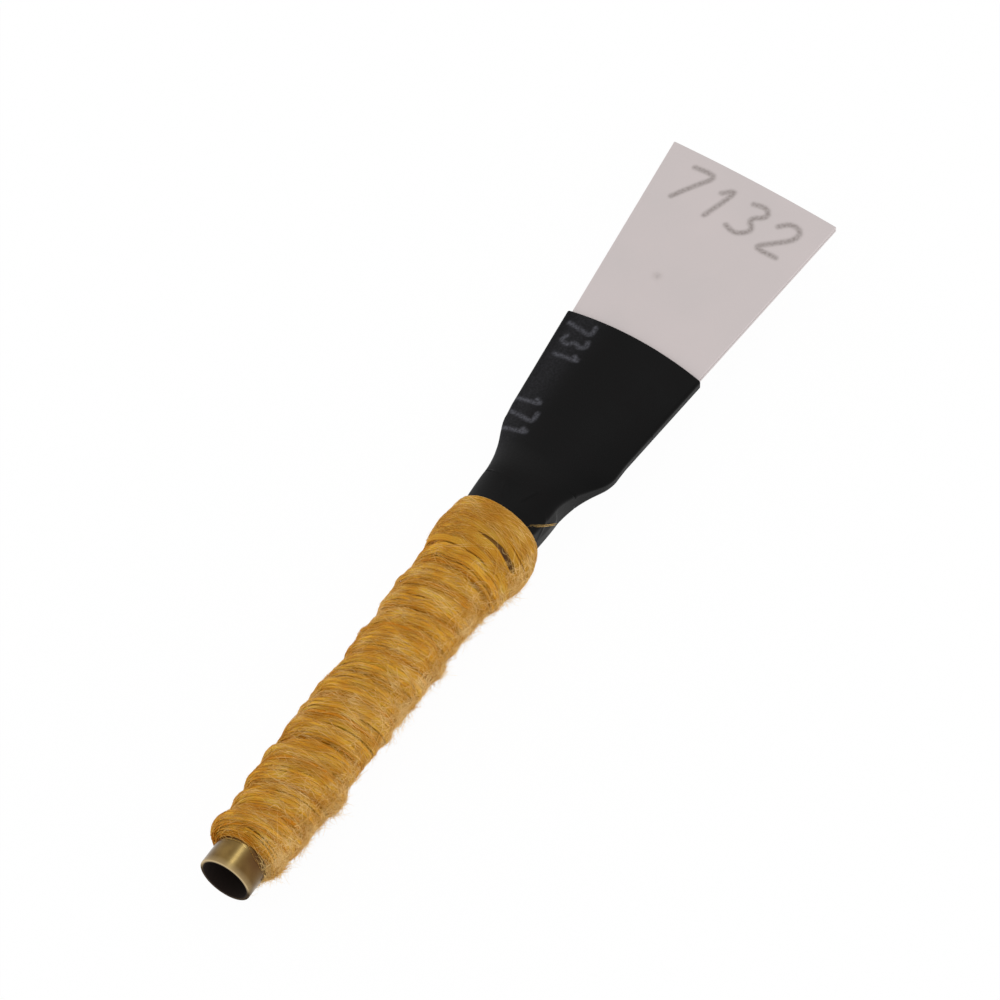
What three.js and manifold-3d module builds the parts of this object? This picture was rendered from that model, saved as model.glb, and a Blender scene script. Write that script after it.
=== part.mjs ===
// A plastic double reed for the bass drone of a bagpipe, lying on its hemp.
// Millimetres, +Z up. The open seat end points to -X and the blades' tip to +X.
// The origin is under the middle of the reed, on the surface that it lies on.
import * as THREE from "three";
import { mergeVertices } from "three/addons/utils/BufferGeometryUtils.js";
import Module from "manifold-3d";

const { lerp, clamp, smoothstep, degToRad } = THREE.MathUtils;

// Clearance between a layer and the piece that it lies on
const layerGap = 0.12;

// How far a cutting block reaches past what it cuts
const cutOverrun = 1;

// Staple: a round brass tube, pressed to an oval at the mouth that the blades grip
const stapleDiameter = 5.5;
const stapleWall = 0.35;
const stapleLength = 50;
const mouthPressLength = 8;
const mouthWideShare = 1.27; // half-width of the mouth, in radii of the tube
const mouthFlatShare = 0.62; // half-height of the mouth, in radii of the tube

// Blades: thin plastic wedges, with tails that lie on the pressed mouth
const bladeLength = 51.3;
const bladeThickness = 0.3;
const tipWidth = 18.58;
const kneeWidth = 12;
const shoulderReach = 0.2; // from the staple's mouth to where the blade starts to widen
const kneeReach = 7.2; // from the staple's mouth to the knee, where the straight sides start
const kneeDrift = -0.25; // the blades' middle line strays to the side at the knee
const tipDrift = 0.32; // and to the other side at the tip
const tipOpening = 0.86; // between the blades at the middle of the tip
const tipSideGap = 0.1; // between the blades at the sides of the tip
const kneeSideGap = 0.1;
const throatPower = 2.7; // how early the opening closes down between the mouth and the tip
const tailLength = 8.5; // the part of a blade that lies on the staple
const tailThickness = 0.4;
const tailCoverShare = 0.86; // how much of the mouth's width a tail covers

// Lashing: thread that binds the tails to the staple
const lashingThickness = 0.2;
const lashingInset = 0.3; // tail left bare behind the lashing
const lashingOverrun = 0.6; // lashing past the staple's mouth

// Sleeve: shrunk over the lashing and the blades' shoulders
const sleeveWall = 0.4;
const sleeveReach = 20.7; // from the staple's mouth to the sleeve's lip
const lipBow = 0.45; // how far the lip's sides lie behind its middle
const sleeveTuck = 0.2; // sleeve behind the collar's first turn
const sleeveEase = 4; // how far past the lashing the sleeve settles on the blades

// Hemp collar: tight turns over the sleeve's lower end
const collarLength = 4.6;
const collarToMouth = 4; // from the collar's top edge to the staple's mouth
const collarThreadWidth = 0.81;
const collarThreadHeight = 0.97;
const collarTurns = 3;
const restFlatDepth = 0.5; // pressed flat where the reed lies on the collar

// Hemp lapping: one outer layer of turns over a plain core of inner layers
const bareEnd = 2.3; // staple left bare at the seat end
const lappingThreadWidth = 1.2; // a bunch of threads that lie side by side
const lappingThreadHeight = 0.8;
const lappingTurns = 23;
const lappingToCollar = 0.4;
const coreInset = 0.2; // from the lapping's first edge to the core
const coreBase = 0.1; // thinnest build of the inner layers
const coreBuild = 1; // what a full lump adds

// The core's lumps: share of the core's length, share of a full lump
const coreLumpShares = [
  [0, 0.15],
  [0.14, 0.3],
  [0.24, 0.66],
  [0.29, 0.42],
  [0.39, 0.41],
  [0.51, 0.64],
  [0.58, 0.48],
  [0.68, 0.73],
  [0.77, 0.62],
  [0.83, 0.73],
  [0.93, 0.7],
  [1, 0.78],
];

// A thread's six-sided section, in shares of its width and height
const threadSectionShares = [
  [0.5, 0],
  [0.27, 0.5],
  [-0.27, 0.5],
  [-0.5, 0],
  [-0.27, -0.5],
  [0.27, -0.5],
];

// Both threads start and end on the underside, where the reed lies
const threadStart = degToRad(-90);

// Counts of steps and sides
const stepsPerTurn = 24;
const roundSides = 32;
const bladeColumns = 12;
const outlineSamples = 60;
const pressSteps = 8;
const tailSteps = 4;
const neckSteps = 6;
const shoulderSteps = 8;
const wedgeSteps = 5;
const bareBladeSteps = 3;
const coreSteps = 24;

// Places along the reed, from the seat end
const stapleRadius = stapleDiameter / 2;
const mouthX = stapleLength;
const tailX = mouthX - tailLength;
const shoulderX = mouthX + shoulderReach;
const kneeX = mouthX + kneeReach;
const tipX = tailX + bladeLength;
const lashingX = tailX + lashingInset;
const lashingEndX = mouthX + lashingOverrun;
const lashingClearX = lashingEndX + layerGap;
const collarTopX = mouthX - collarToMouth;
const collarX = collarTopX - collarLength;
const sleeveX = collarX - sleeveTuck;
const lipX = mouthX + sleeveReach;
const coreX = bareEnd + coreInset;
const coreEndX = sleeveX - layerGap;
const lappingEndX = collarX - lappingToCollar;

const wasm = await Module();
wasm.setup();

// Evenly spread values from one end to the other, both included.
function spread(from, to, steps) {
  return Array.from({ length: steps + 1 }, (_, i) => lerp(from, to, i / steps));
}

const roundAngles = spread(0, 2 * Math.PI, roundSides).slice(0, -1);

// Half-width and half-height of the staple's outer wall.
function stapleOval(x) {
  const press = smoothstep(x, mouthX - mouthPressLength, mouthX);
  return {
    wide: stapleRadius * lerp(1, mouthWideShare, press),
    flat: stapleRadius * lerp(1, mouthFlatShare, press),
  };
}

// The upper blade's cross-section: a function that gives, for an across value from -1 to 1,
// the points [y, z] on its inner and outer face.
function bladeSection(x) {
  const widening = smoothstep(x, shoulderX, kneeX);
  const alongWedge = clamp((x - kneeX) / (tipX - kneeX), 0, 1);
  const pastMouth = clamp((x - mouthX) / (tipX - mouthX), 0, 1);
  const grip = stapleOval(Math.min(x, mouthX));
  const wedgeHalf = lerp(kneeWidth, tipWidth, alongWedge) / 2;
  const archHalf = lerp(grip.wide + layerGap, wedgeHalf, widening);
  const centre = lerp(widening * kneeDrift, tipDrift, alongWedge);
  const cover = lerp(tailCoverShare, 1, widening);
  const side = (widening * lerp(kneeSideGap, tipSideGap, alongWedge)) / 2;
  const middle = lerp(tipOpening / 2, grip.flat + layerGap, (1 - pastMouth) ** throatPower);
  const power = lerp(1 / 2, 1, widening);
  const thickness = lerp(tailThickness, bladeThickness, widening);
  return (across) => {
    const share = cover * across;
    const rise = middle - side;
    const room = 1 - share ** 2;
    const y = centre + archHalf * share;
    const z = side + rise * room ** power;
    const slope = (-2 * share * power * rise * room ** (power - 1)) / archHalf;
    const stretch = thickness / Math.hypot(slope, 1);
    return { inner: [y, z], outer: [y - slope * stretch, z + stretch] };
  };
}

// Points round everything that the lashing and the sleeve wrap.
function wrappedPoints(x) {
  const points = [];
  if (x <= mouthX + layerGap) {
    const { wide, flat } = stapleOval(Math.min(x, mouthX));
    for (const angle of spread(0, 2 * Math.PI, outlineSamples)) {
      points.push([wide * Math.cos(angle), flat * Math.sin(angle)]);
    }
  }
  const section = bladeSection(Math.max(x, tailX));
  for (const across of spread(-1, 1, outlineSamples)) {
    const { inner, outer } = section(across);
    points.push(inner, outer, [inner[0], -inner[1]], [outer[0], -outer[1]]);
  }
  return points;
}

// A ring of points at one distance outside what is wrapped, as a taut skin lies.
function tautRing(x, distance) {
  const points = wrappedPoints(clamp(x, lashingX, lipX));
  const sides = points.map(([y]) => y);
  const wide = (Math.max(...sides) - Math.min(...sides)) / 2;
  const flat = Math.max(...points.map(([, z]) => z));
  return roundAngles.map((angle) => {
    const normal = new THREE.Vector2(flat * Math.cos(angle), wide * Math.sin(angle)).normalize();
    const reach = ([y, z]) => y * normal.x + z * normal.y;
    const [y, z] = points.reduce((best, point) => (reach(point) > reach(best) ? point : best));
    return new THREE.Vector3(x, y + distance * normal.x, z + distance * normal.y);
  });
}

function ovalRing(x, wide, flat) {
  return roundAngles.map(
    (angle) => new THREE.Vector3(x, wide * Math.cos(angle), flat * Math.sin(angle)),
  );
}

// A closed body through equal rings: capped at both ends, or joined from the last ring
// back to the first.
function skin(rings, { looped = false } = {}) {
  const sides = rings[0].length;
  const index = [];
  const spans = looped ? rings.length : rings.length - 1;
  for (let i = 0; i < spans; i++) {
    const here = i * sides;
    const next = ((i + 1) % rings.length) * sides;
    for (let j = 0; j < sides; j++) {
      const k = (j + 1) % sides;
      index.push(here + j, here + k, next + j);
      index.push(next + j, here + k, next + k);
    }
  }
  if (!looped) {
    index.push(...capFaces(rings[0], 0, true));
    index.push(...capFaces(rings.at(-1), (rings.length - 1) * sides, false));
  }
  const geometry = new THREE.BufferGeometry().setFromPoints(rings.flat());
  geometry.setIndex(index);
  geometry.computeVertexNormals();
  return geometry;
}

// Triangles over a flat ring, whose plane is summed up from all its edges.
function capFaces(ring, first, reversed) {
  const normal = new THREE.Vector3();
  ring.forEach((p, j) => {
    const next = ring[(j + 1) % ring.length];
    normal.add(p.clone().sub(ring[0]).cross(next.clone().sub(ring[0])));
  });
  const e1 = ring[1].clone().sub(ring[0]).normalize();
  const e2 = normal.normalize().cross(e1);
  const flat = ring.map((p) => new THREE.Vector2(p.dot(e1), p.dot(e2)));
  return THREE.ShapeUtils.triangulateShape(flat, []).flatMap((face) => {
    const turned = reversed ? [face[2], face[1], face[0]] : face;
    return turned.map((corner) => corner + first);
  });
}

// A tube whose outer and inner rings run from one end to the other.
function shell(outerRings, innerRings) {
  return skin([...outerRings, ...innerRings.reverse()], { looped: true });
}

function makeStaple() {
  const pressX = mouthX - mouthPressLength;
  const places = [0, bareEnd, ...spread(pressX, mouthX, pressSteps)];
  const ring = (inset) => (x) => {
    const { wide, flat } = stapleOval(x);
    return ovalRing(x, wide - inset, flat - inset);
  };
  return shell(places.map(ring(0)), places.map(ring(stapleWall)));
}

// One blade: the upper one, or the lower one as its mirror image.
function makeBlade({ mirrored = false } = {}) {
  const places = [
    ...spread(tailX, shoulderX, tailSteps),
    ...spread(shoulderX, kneeX, shoulderSteps).slice(1),
    ...spread(kneeX, lipX, wedgeSteps).slice(1),
    ...spread(lipX, tipX, bareBladeSteps).slice(1),
  ];
  const rings = places.map((x) => {
    const section = bladeSection(x);
    const columns = spread(-1, 1, bladeColumns).map(section);
    const outline = [
      ...columns.map(({ inner }) => inner),
      ...columns.map(({ outer }) => outer).reverse(),
    ];
    const ring = outline.map(([y, z]) => new THREE.Vector3(x, y, mirrored ? -z : z));
    return mirrored ? ring.reverse() : ring;
  });
  return skin(rings);
}

function makeLashing() {
  const places = [...spread(lashingX, mouthX, neckSteps), mouthX + layerGap, lashingEndX];
  const ring = (distance) => (x) => tautRing(x, distance);
  return shell(
    places.map(ring(layerGap + lashingThickness)),
    places.map(ring(layerGap)),
  );
}

// From the sleeve's inner face to what is wrapped: the lashing lies between them at the neck.
function sleeveStandoff(x) {
  const settled = smoothstep(x, lashingClearX, lashingClearX + sleeveEase);
  return lerp(layerGap + lashingThickness + layerGap, layerGap, settled);
}

// A ring of the sleeve with its sides drawn back, more so towards the lip.
function bowed(ring) {
  const half = Math.max(...ring.map((p) => Math.abs(p.y)));
  return ring.map((p) => {
    const back = lipBow * smoothstep(p.x, kneeX, lipX) * (p.y / half) ** 2;
    return new THREE.Vector3(p.x - back, p.y, p.z);
  });
}

function makeSleeve() {
  const places = [
    sleeveX,
    ...spread(lashingX, lashingClearX, neckSteps),
    ...spread(lashingClearX, kneeX, shoulderSteps).slice(1),
    ...spread(kneeX, lipX, wedgeSteps).slice(1),
  ];
  const ring = (distance) => (x) => bowed(tautRing(x, sleeveStandoff(x) + distance));
  return shell(places.map(ring(sleeveWall)), places.map(ring(0)));
}

// The core's outer radius, eased from one lump to the next.
function coreRadius(x) {
  const along = clamp((x - coreX) / (coreEndX - coreX), 0, 1);
  const next = Math.max(
    1,
    coreLumpShares.findIndex(([share]) => share >= along),
  );
  const [fromShare, fromBuild] = coreLumpShares[next - 1];
  const [toShare, toBuild] = coreLumpShares[next];
  const build = lerp(fromBuild, toBuild, smoothstep(along, fromShare, toShare));
  return stapleRadius + layerGap + coreBase + coreBuild * build;
}

function makeCore() {
  const places = spread(coreX, coreEndX, coreSteps);
  const profile = places.map((x) => new THREE.Vector2(coreRadius(x), x));
  const bore = stapleRadius + layerGap;
  profile.unshift(new THREE.Vector2(bore, coreX));
  profile.push(new THREE.Vector2(bore, coreEndX), new THREE.Vector2(bore, coreX));
  return new THREE.LatheGeometry(profile, roundSides);
}

// Largest radius of what lies under a thread of one width at one place.
function seatRadius(x, width, radiusAt) {
  return Math.max(radiusAt(x - width / 2), radiusAt(x), radiusAt(x + width / 2));
}

function sleeveRadius(x) {
  const ring = tautRing(x, sleeveStandoff(x) + sleeveWall);
  return Math.max(...ring.map((p) => Math.hypot(p.y, p.z)));
}

// One unbroken thread wound from one edge to the other, in even turns. It starts and ends
// with a straight stretch as long as the thread is wide.
function woundThread({ from, to, turns, width, height, startAngle, radiusAt }) {
  const steps = turns * stepsPerTurn;
  const ringAt = (x, radius, angle, ahead) => {
    const radial = new THREE.Vector3(0, Math.cos(angle), Math.sin(angle));
    const along = new THREE.Vector3(0, -Math.sin(angle), Math.cos(angle));
    return threadSectionShares.map(([wide, high]) =>
      new THREE.Vector3(x + wide * width, 0, 0)
        .addScaledVector(radial, radius + high * height)
        .addScaledVector(along, ahead),
    );
  };
  const rings = Array.from({ length: steps + 1 }, (_, i) => {
    const x = lerp(from + width / 2, to - width / 2, i / steps);
    const radius = seatRadius(x, width, radiusAt) + layerGap + height / 2;
    const angle = startAngle + (2 * Math.PI * i) / stepsPerTurn;
    return { x, radius, angle };
  });
  const first = rings[0];
  const last = rings.at(-1);
  return [
    ringAt(first.x, first.radius, first.angle, -width),
    ...rings.map(({ x, radius, angle }) => ringAt(x, radius, angle, 0)),
    ringAt(last.x, last.radius, last.angle, width),
  ];
}

// Smallest distance between points of the thread that lie at least half a turn apart.
function leastGap(rings) {
  const apart = stepsPerTurn / 2;
  let least = Infinity;
  rings.forEach((ring, i) => {
    for (const other of rings.slice(i + apart)) {
      for (const p of ring) {
        for (const q of other) least = Math.min(least, p.distanceTo(q));
      }
    }
  });
  return least;
}

function toManifold(geometry) {
  const bare = geometry.clone();
  bare.deleteAttribute("normal");
  bare.deleteAttribute("uv");
  const merged = mergeVertices(bare);
  return new wasm.Manifold(
    new wasm.Mesh({
      numProp: 3,
      vertProperties: new Float32Array(merged.attributes.position.array),
      triVerts: new Uint32Array(merged.index.array),
    }),
  );
}

function fromManifold(solid) {
  const { vertProperties, triVerts } = solid.getMesh();
  const geometry = new THREE.BufferGeometry();
  geometry.setAttribute("position", new THREE.BufferAttribute(vertProperties, 3));
  geometry.setIndex(new THREE.BufferAttribute(triVerts, 1));
  geometry.computeVertexNormals();
  return geometry;
}

// The thread with everything below one level cut away.
function flattened(geometry, level) {
  geometry.computeBoundingBox();
  const cut = geometry.boundingBox.clone().expandByScalar(cutOverrun);
  cut.max.z = level;
  const size = cut.getSize(new THREE.Vector3());
  const centre = cut.getCenter(new THREE.Vector3());
  const below = new THREE.BoxGeometry(size.x, size.y, size.z);
  below.translate(centre.x, centre.y, centre.z);
  return fromManifold(toManifold(geometry).subtract(toManifold(below)));
}

const collarRings = woundThread({
  from: collarX,
  to: collarTopX,
  turns: collarTurns,
  width: collarThreadWidth,
  height: collarThreadHeight,
  startAngle: threadStart,
  radiusAt: sleeveRadius,
});
const lappingRings = woundThread({
  from: bareEnd,
  to: lappingEndX,
  turns: lappingTurns,
  width: lappingThreadWidth,
  height: lappingThreadHeight,
  startAngle: threadStart,
  radiusAt: coreRadius,
});
console.log("hemp_collar: least gap to itself", leastGap(collarRings).toFixed(2), "mm");
console.log("hemp_lapping: least gap to itself", leastGap(lappingRings).toFixed(2), "mm");

const lowest = Math.min(...collarRings.flat().map((p) => p.z));
const restLevel = lowest + restFlatDepth;

const finishes = {
  brass: { color: 0x826437, roughness: 0.3, metalness: 1 },
  whitePlastic: { color: 0xc5bcba, roughness: 0.45, metalness: 0 },
  blackSleeve: { color: 0x1b1b1b, roughness: 0.5, metalness: 0 },
  waxedHemp: { color: 0xb17f34, roughness: 0.8, metalness: 0 },
  thread: { color: 0xd8cfb8, roughness: 0.85, metalness: 0 },
};

const reed = new THREE.Group();

function addPiece(name, geometry, finish) {
  const piece = new THREE.Mesh(geometry, new THREE.MeshStandardMaterial(finishes[finish]));
  piece.name = name;
  reed.add(piece);
  return piece;
}

addPiece("staple", makeStaple(), "brass");
addPiece("blade_upper", makeBlade(), "whitePlastic");
addPiece("blade_lower", makeBlade({ mirrored: true }), "whitePlastic");
addPiece("blade_lashing", makeLashing(), "thread");
addPiece("shrink_sleeve", makeSleeve(), "blackSleeve");
const core = addPiece("hemp_core", makeCore(), "waxedHemp");
core.rotation.z = -Math.PI / 2;
addPiece("hemp_lapping", skin(lappingRings), "waxedHemp");
addPiece("hemp_collar", flattened(skin(collarRings), restLevel), "waxedHemp");

reed.position.set(-tipX / 2, 0, -restLevel);

export default reed;
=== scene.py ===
"""A plastic double reed for a bass drone: brass staple, two blades, shrunk sleeve and waxed hemp.

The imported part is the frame. Everything is in metres. A place along the reed is counted from the
staple's open seat end, and a height from the staple's axis, until placed() moves it to the frame.
"""

import math

import bpy
import numpy as np
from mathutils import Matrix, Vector


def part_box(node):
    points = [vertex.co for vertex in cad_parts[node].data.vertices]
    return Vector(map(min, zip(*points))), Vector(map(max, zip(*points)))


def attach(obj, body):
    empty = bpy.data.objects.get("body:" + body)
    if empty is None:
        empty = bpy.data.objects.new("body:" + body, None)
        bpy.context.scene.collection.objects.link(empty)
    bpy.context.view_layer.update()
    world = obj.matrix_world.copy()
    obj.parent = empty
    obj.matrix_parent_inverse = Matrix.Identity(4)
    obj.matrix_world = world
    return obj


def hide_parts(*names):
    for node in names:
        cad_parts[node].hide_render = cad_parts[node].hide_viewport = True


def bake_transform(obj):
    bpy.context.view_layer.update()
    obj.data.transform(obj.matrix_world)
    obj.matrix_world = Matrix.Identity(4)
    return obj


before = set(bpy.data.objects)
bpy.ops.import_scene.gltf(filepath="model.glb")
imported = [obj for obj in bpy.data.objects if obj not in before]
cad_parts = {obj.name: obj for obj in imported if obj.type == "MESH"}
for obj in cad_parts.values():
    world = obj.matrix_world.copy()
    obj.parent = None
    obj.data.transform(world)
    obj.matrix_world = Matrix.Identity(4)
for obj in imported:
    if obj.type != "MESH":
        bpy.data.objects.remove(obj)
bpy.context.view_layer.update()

MM = 0.001
FULL_TURN = 2 * math.pi

# Places and sizes from the frame
staple_low, staple_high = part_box("staple")
SEAT_X = staple_low.x
AXIS_Z = (staple_low.z + staple_high.z) / 2
STAPLE_RADIUS = (staple_high.z - staple_low.z) / 2
MOUTH = staple_high.x - SEAT_X
MOUTH_HALF_WIDTH = staple_high.y


def span(node):
    """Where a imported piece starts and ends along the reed."""
    low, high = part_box(node)
    return low.x - SEAT_X, high.x - SEAT_X


TAIL_END, TIP = span("blade_upper")
LASHING_START, LASHING_END = span("blade_lashing")
SLEEVE_START, PACKED_LIP = span("shrink_sleeve")
COLLAR_START, COLLAR_TOP = span("hemp_collar")
LAPPING_START, LAPPING_END = span("hemp_lapping")

# Clearance between a layer and the piece that it lies on
LAYER_GAP = 0.12 * MM

# Staple
STAPLE_WALL = 0.35 * MM
STAPLE_ROUNDING = 0.08 * MM
MOUTH_PRESS_LENGTH = 8 * MM
MOUTH_HALF_HEIGHT = 1.705 * MM

# Blades
BLADE_THICKNESS = 0.3 * MM
TAIL_THICKNESS = 0.4 * MM
TAIL_COVER = 0.86  # share of the mouth's width that a tail covers
TIP_WIDTH = 18.58 * MM
KNEE_WIDTH = 11.85 * MM
SHOULDER = MOUTH + 0.2 * MM
KNEE = MOUTH + 7.2 * MM
KNEE_DRIFT = -0.25 * MM  # how far the blades' middle line strays to the side
TIP_DRIFT = 0.32 * MM
TIP_OPENING = 0.86 * MM
SIDE_GAP = 0.1 * MM  # between the two blades along their sides
THROAT_POWER = 2.7
BLADE_ROUNDING = 0.09 * MM

# Sleeve and lashing. The sleeve is thicker where it has shrunk more.
LIP_REACH = 0.17 * MM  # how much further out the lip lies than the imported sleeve's
LIP = PACKED_LIP + LIP_REACH
NECK_WALL = 0.34 * MM
SLEEVE_WALL = 0.27 * MM
SLEEVE_GAP = 0.04 * MM
SLEEVE_LEANS = [(50, -0.15), (53, -0.13), (55.5, -0.2), (58.5, 0)]  # place and lean in millimetres
LIP_BOW = 0.45 * MM  # how far the lip's sides lie behind its middle
SLEEVE_EASE = 4 * MM  # how far past the lashing the sleeve settles on the blades
SLEEVE_ROUNDING = 0.13 * MM
LASHING_THICKNESS = 0.2 * MM
LASHING_THREAD = 0.19 * MM

# Where the hemp lies on a surface it is pressed flat from this height down
PRESS_HEIGHT = 0.12 * MM


def smooth(value, start, end):
    """Eases from 0 at start to 1 at end."""
    share = np.clip((value - start) / (end - start), 0, 1)
    return share * share * (3 - 2 * share)


def mix(low, high, share):
    return low + (high - low) * share


def bell(value, middle, spread):
    """1 at the middle, falling towards 0 on both sides."""
    return np.exp(-(((value - middle) / spread) ** 2))


def placed(points):
    """Points counted from the seat end and the axis, moved to the frame."""
    return np.asarray(points, float) + np.array([SEAT_X, 0, AXIS_Z])


def pressed(points):
    """Frame points of hemp, eased up where they would go below the surface that the reed lies on."""
    heights = points[..., 2]
    eased = PRESS_HEIGHT * np.exp(np.minimum(heights - PRESS_HEIGHT, 0) / PRESS_HEIGHT)
    points[..., 2] = np.where(heights < PRESS_HEIGHT, eased, heights)
    return points


# Meshes


def make_mesh(name, points, blocks, material, **values):
    """A smooth-shaded piece. Blocks are arrays of faces, and the named values are kept on its points."""
    mesh = bpy.data.meshes.new(name)
    sizes = np.concatenate([np.full(len(b), b.shape[1]) for b in blocks]).astype(np.int32)
    corners = np.concatenate([b.ravel() for b in blocks]).astype(np.int32)
    starts = np.concatenate([[0], np.cumsum(sizes)[:-1]]).astype(np.int32)
    mesh.vertices.add(len(points))
    mesh.vertices.foreach_set("co", np.asarray(points, np.float32).ravel())
    mesh.loops.add(len(corners))
    mesh.loops.foreach_set("vertex_index", corners)
    mesh.polygons.add(len(sizes))
    mesh.polygons.foreach_set("loop_start", starts)
    mesh.update(calc_edges=True)
    mesh.shade_smooth()
    for label, numbers in values.items():
        numbers = np.asarray(numbers, np.float32)
        kind, field = ("FLOAT_VECTOR", "vector") if numbers.ndim == 2 else ("FLOAT", "value")
        mesh.attributes.new(label, kind, "POINT").data.foreach_set(field, numbers.ravel())
    mesh.materials.append(material)
    piece = bpy.data.objects.new(name, mesh)
    bpy.context.scene.collection.objects.link(piece)
    return piece


def ring_faces(rows, columns, looped=False, first=0):
    """Quads between neighbouring rings of points. A looped skin joins the last ring to the first."""
    row = np.arange(rows if looped else rows - 1)[:, None]
    column = np.arange(columns)[None, :]
    beside = (column + 1) % columns
    here = first + row * columns
    after = first + (row + 1) % rows * columns
    quads = np.stack([here + column, here + beside, after + beside, after + column], axis=-1)
    return quads.reshape(-1, 4)


def wall_mesh(name, outer, inner, material, press=False, **values):
    """A tube wall from its outer and its inner rings, both from one end to the other. A value is a grid
    like the rings'."""
    rings = np.concatenate([outer, inner[::-1]])
    points = placed(rings.reshape(-1, 3))
    points = pressed(points) if press else points
    blocks = [ring_faces(*rings.shape[:2], looped=True)]
    values = {label: np.ravel(grid) for label, grid in values.items()}
    return make_mesh(name, points, blocks, material, **values)


def ring_angles(sides):
    return np.arange(sides) * FULL_TURN / sides


def oval_rings(places, half_width, half_height, sides):
    """A ring of points round the axis at each place. A half-size has one row for each ring, and one column
    for all of the ring's points or for each."""
    angles = ring_angles(sides)
    y, z = half_width * np.cos(angles), half_height * np.sin(angles)
    return np.stack([np.broadcast_to(places[:, None], y.shape), y, z], axis=-1)


ROUNDING_STEPS = 4  # over a quarter of a turn


def rounded(rounding):
    """How far back from an edge the points of its rounding lie, and how far in, up to the edge itself."""
    turn = np.linspace(0, math.pi / 2, ROUNDING_STEPS + 1)
    return rounding * (1 - np.sin(turn)), rounding * (1 - np.cos(turn))


def rounded_ends(start, end, count, wall, rounding):
    """Places along a wall and the outer face's inset at each, with its two rims rounded."""
    back, inset = rounded(rounding)
    middle = np.linspace(start + rounding, end - rounding, count)[1:-1]
    places = np.concatenate([(start + back)[::-1], middle, end - back])
    insets = np.concatenate([inset[::-1], np.zeros(len(middle)), inset])
    return places, np.minimum(insets, wall / 2)


# Strands: long closed threads with an oval section

LAY_STEP = 7.0  # from one strand's streaks to the next one's


def unit(vectors):
    return vectors / np.maximum(np.linalg.norm(vectors, axis=-1, keepdims=True), 1e-12)


def reach_along(line):
    """How far along a line each of its points lies."""
    return np.concatenate([[0], np.cumsum(np.linalg.norm(np.diff(line, axis=0), axis=1))])


def at_radius(x, angles, radius):
    """Points at places along the reed, angles round it and distances from its axis, and the directions
    that are outward there."""
    outward = np.stack([np.zeros(len(angles)), np.cos(angles), np.sin(angles)], axis=1)
    line = outward * radius[:, None]
    line[:, 0] = x
    return line, outward


def strand_mesh(name, strands, material, sides, hemp=False):
    """One mesh of closed threads. A strand is its middle line, outward directions, half-width, half-height,
    tone and how much painted shade it gets where other turns cover it. Its lay is kept on the points too:
    how far along and round it they are, and a number of its own."""
    points, blocks, lays, shades = [], [], [], []
    angles = ring_angles(sides)
    side = np.arange(sides)
    beside = (side + 1) % sides
    first = 0
    for number, (line, outward, half_width, half_height, tone, buried) in enumerate(strands):
        count = len(line)
        half_width = np.broadcast_to(half_width, count)[:, None]
        half_height = np.broadcast_to(half_height, count)[:, None]
        forward = unit(np.gradient(line, axis=0))
        outward = unit(outward - (outward * forward).sum(1, keepdims=True) * forward)
        across = np.cross(outward, forward)
        wide = across[:, None, :] * (half_width * np.cos(angles))[:, :, None]
        high = outward[:, None, :] * (half_height * np.sin(angles))[:, :, None]
        rings = line[:, None, :] + wide + high
        points += [rings.reshape(-1, 3), line[:1], line[-1:]]
        around = half_width / MM * (angles - math.pi)
        along = np.broadcast_to((reach_along(line) / MM)[:, None], around.shape)
        lay = np.stack([along, around, np.full(around.shape, number * LAY_STEP)], axis=-1)
        lays += [lay.reshape(-1, 3), lay[0, :1], lay[-1, :1]]
        shade = np.stack([np.broadcast_to(tone, count), np.broadcast_to(buried, count)], axis=1)
        shades += [np.repeat(shade, sides, axis=0), shade[[0, -1]]]
        last = first + (count - 1) * sides
        hub = first + count * sides
        start_cap = np.stack([np.full(sides, hub), first + beside, first + side], axis=1)
        end_cap = np.stack([np.full(sides, hub + 1), last + side, last + beside], axis=1)
        blocks += [ring_faces(count, sides, first=first), start_cap, end_cap]
        first = hub + 2
    points = np.concatenate(points)
    points = pressed(placed(shaped(points))) if hemp else placed(points)
    tone, buried = np.concatenate(shades).T
    return make_mesh(name, points, blocks, material, lay=np.concatenate(lays), tone=tone, buried=buried)


# Shapes of the staple, the blades and what is wrapped round them


def staple_oval(x):
    """Half-width and half-height of the staple's outer wall."""
    press = smooth(x, MOUTH - MOUTH_PRESS_LENGTH, MOUTH)
    return mix(STAPLE_RADIUS, MOUTH_HALF_WIDTH, press), mix(STAPLE_RADIUS, MOUTH_HALF_HEIGHT, press)


def lean_at(leans, x):
    """How far a piece leans or swells at each place, from a list in millimetres."""
    places, sizes = np.array(leans).T
    return np.interp(np.asarray(x) / MM, places, sizes) * MM


def blade_thickness(x):
    return mix(TAIL_THICKNESS, BLADE_THICKNESS, smooth(x, SHOULDER, KNEE))


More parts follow.
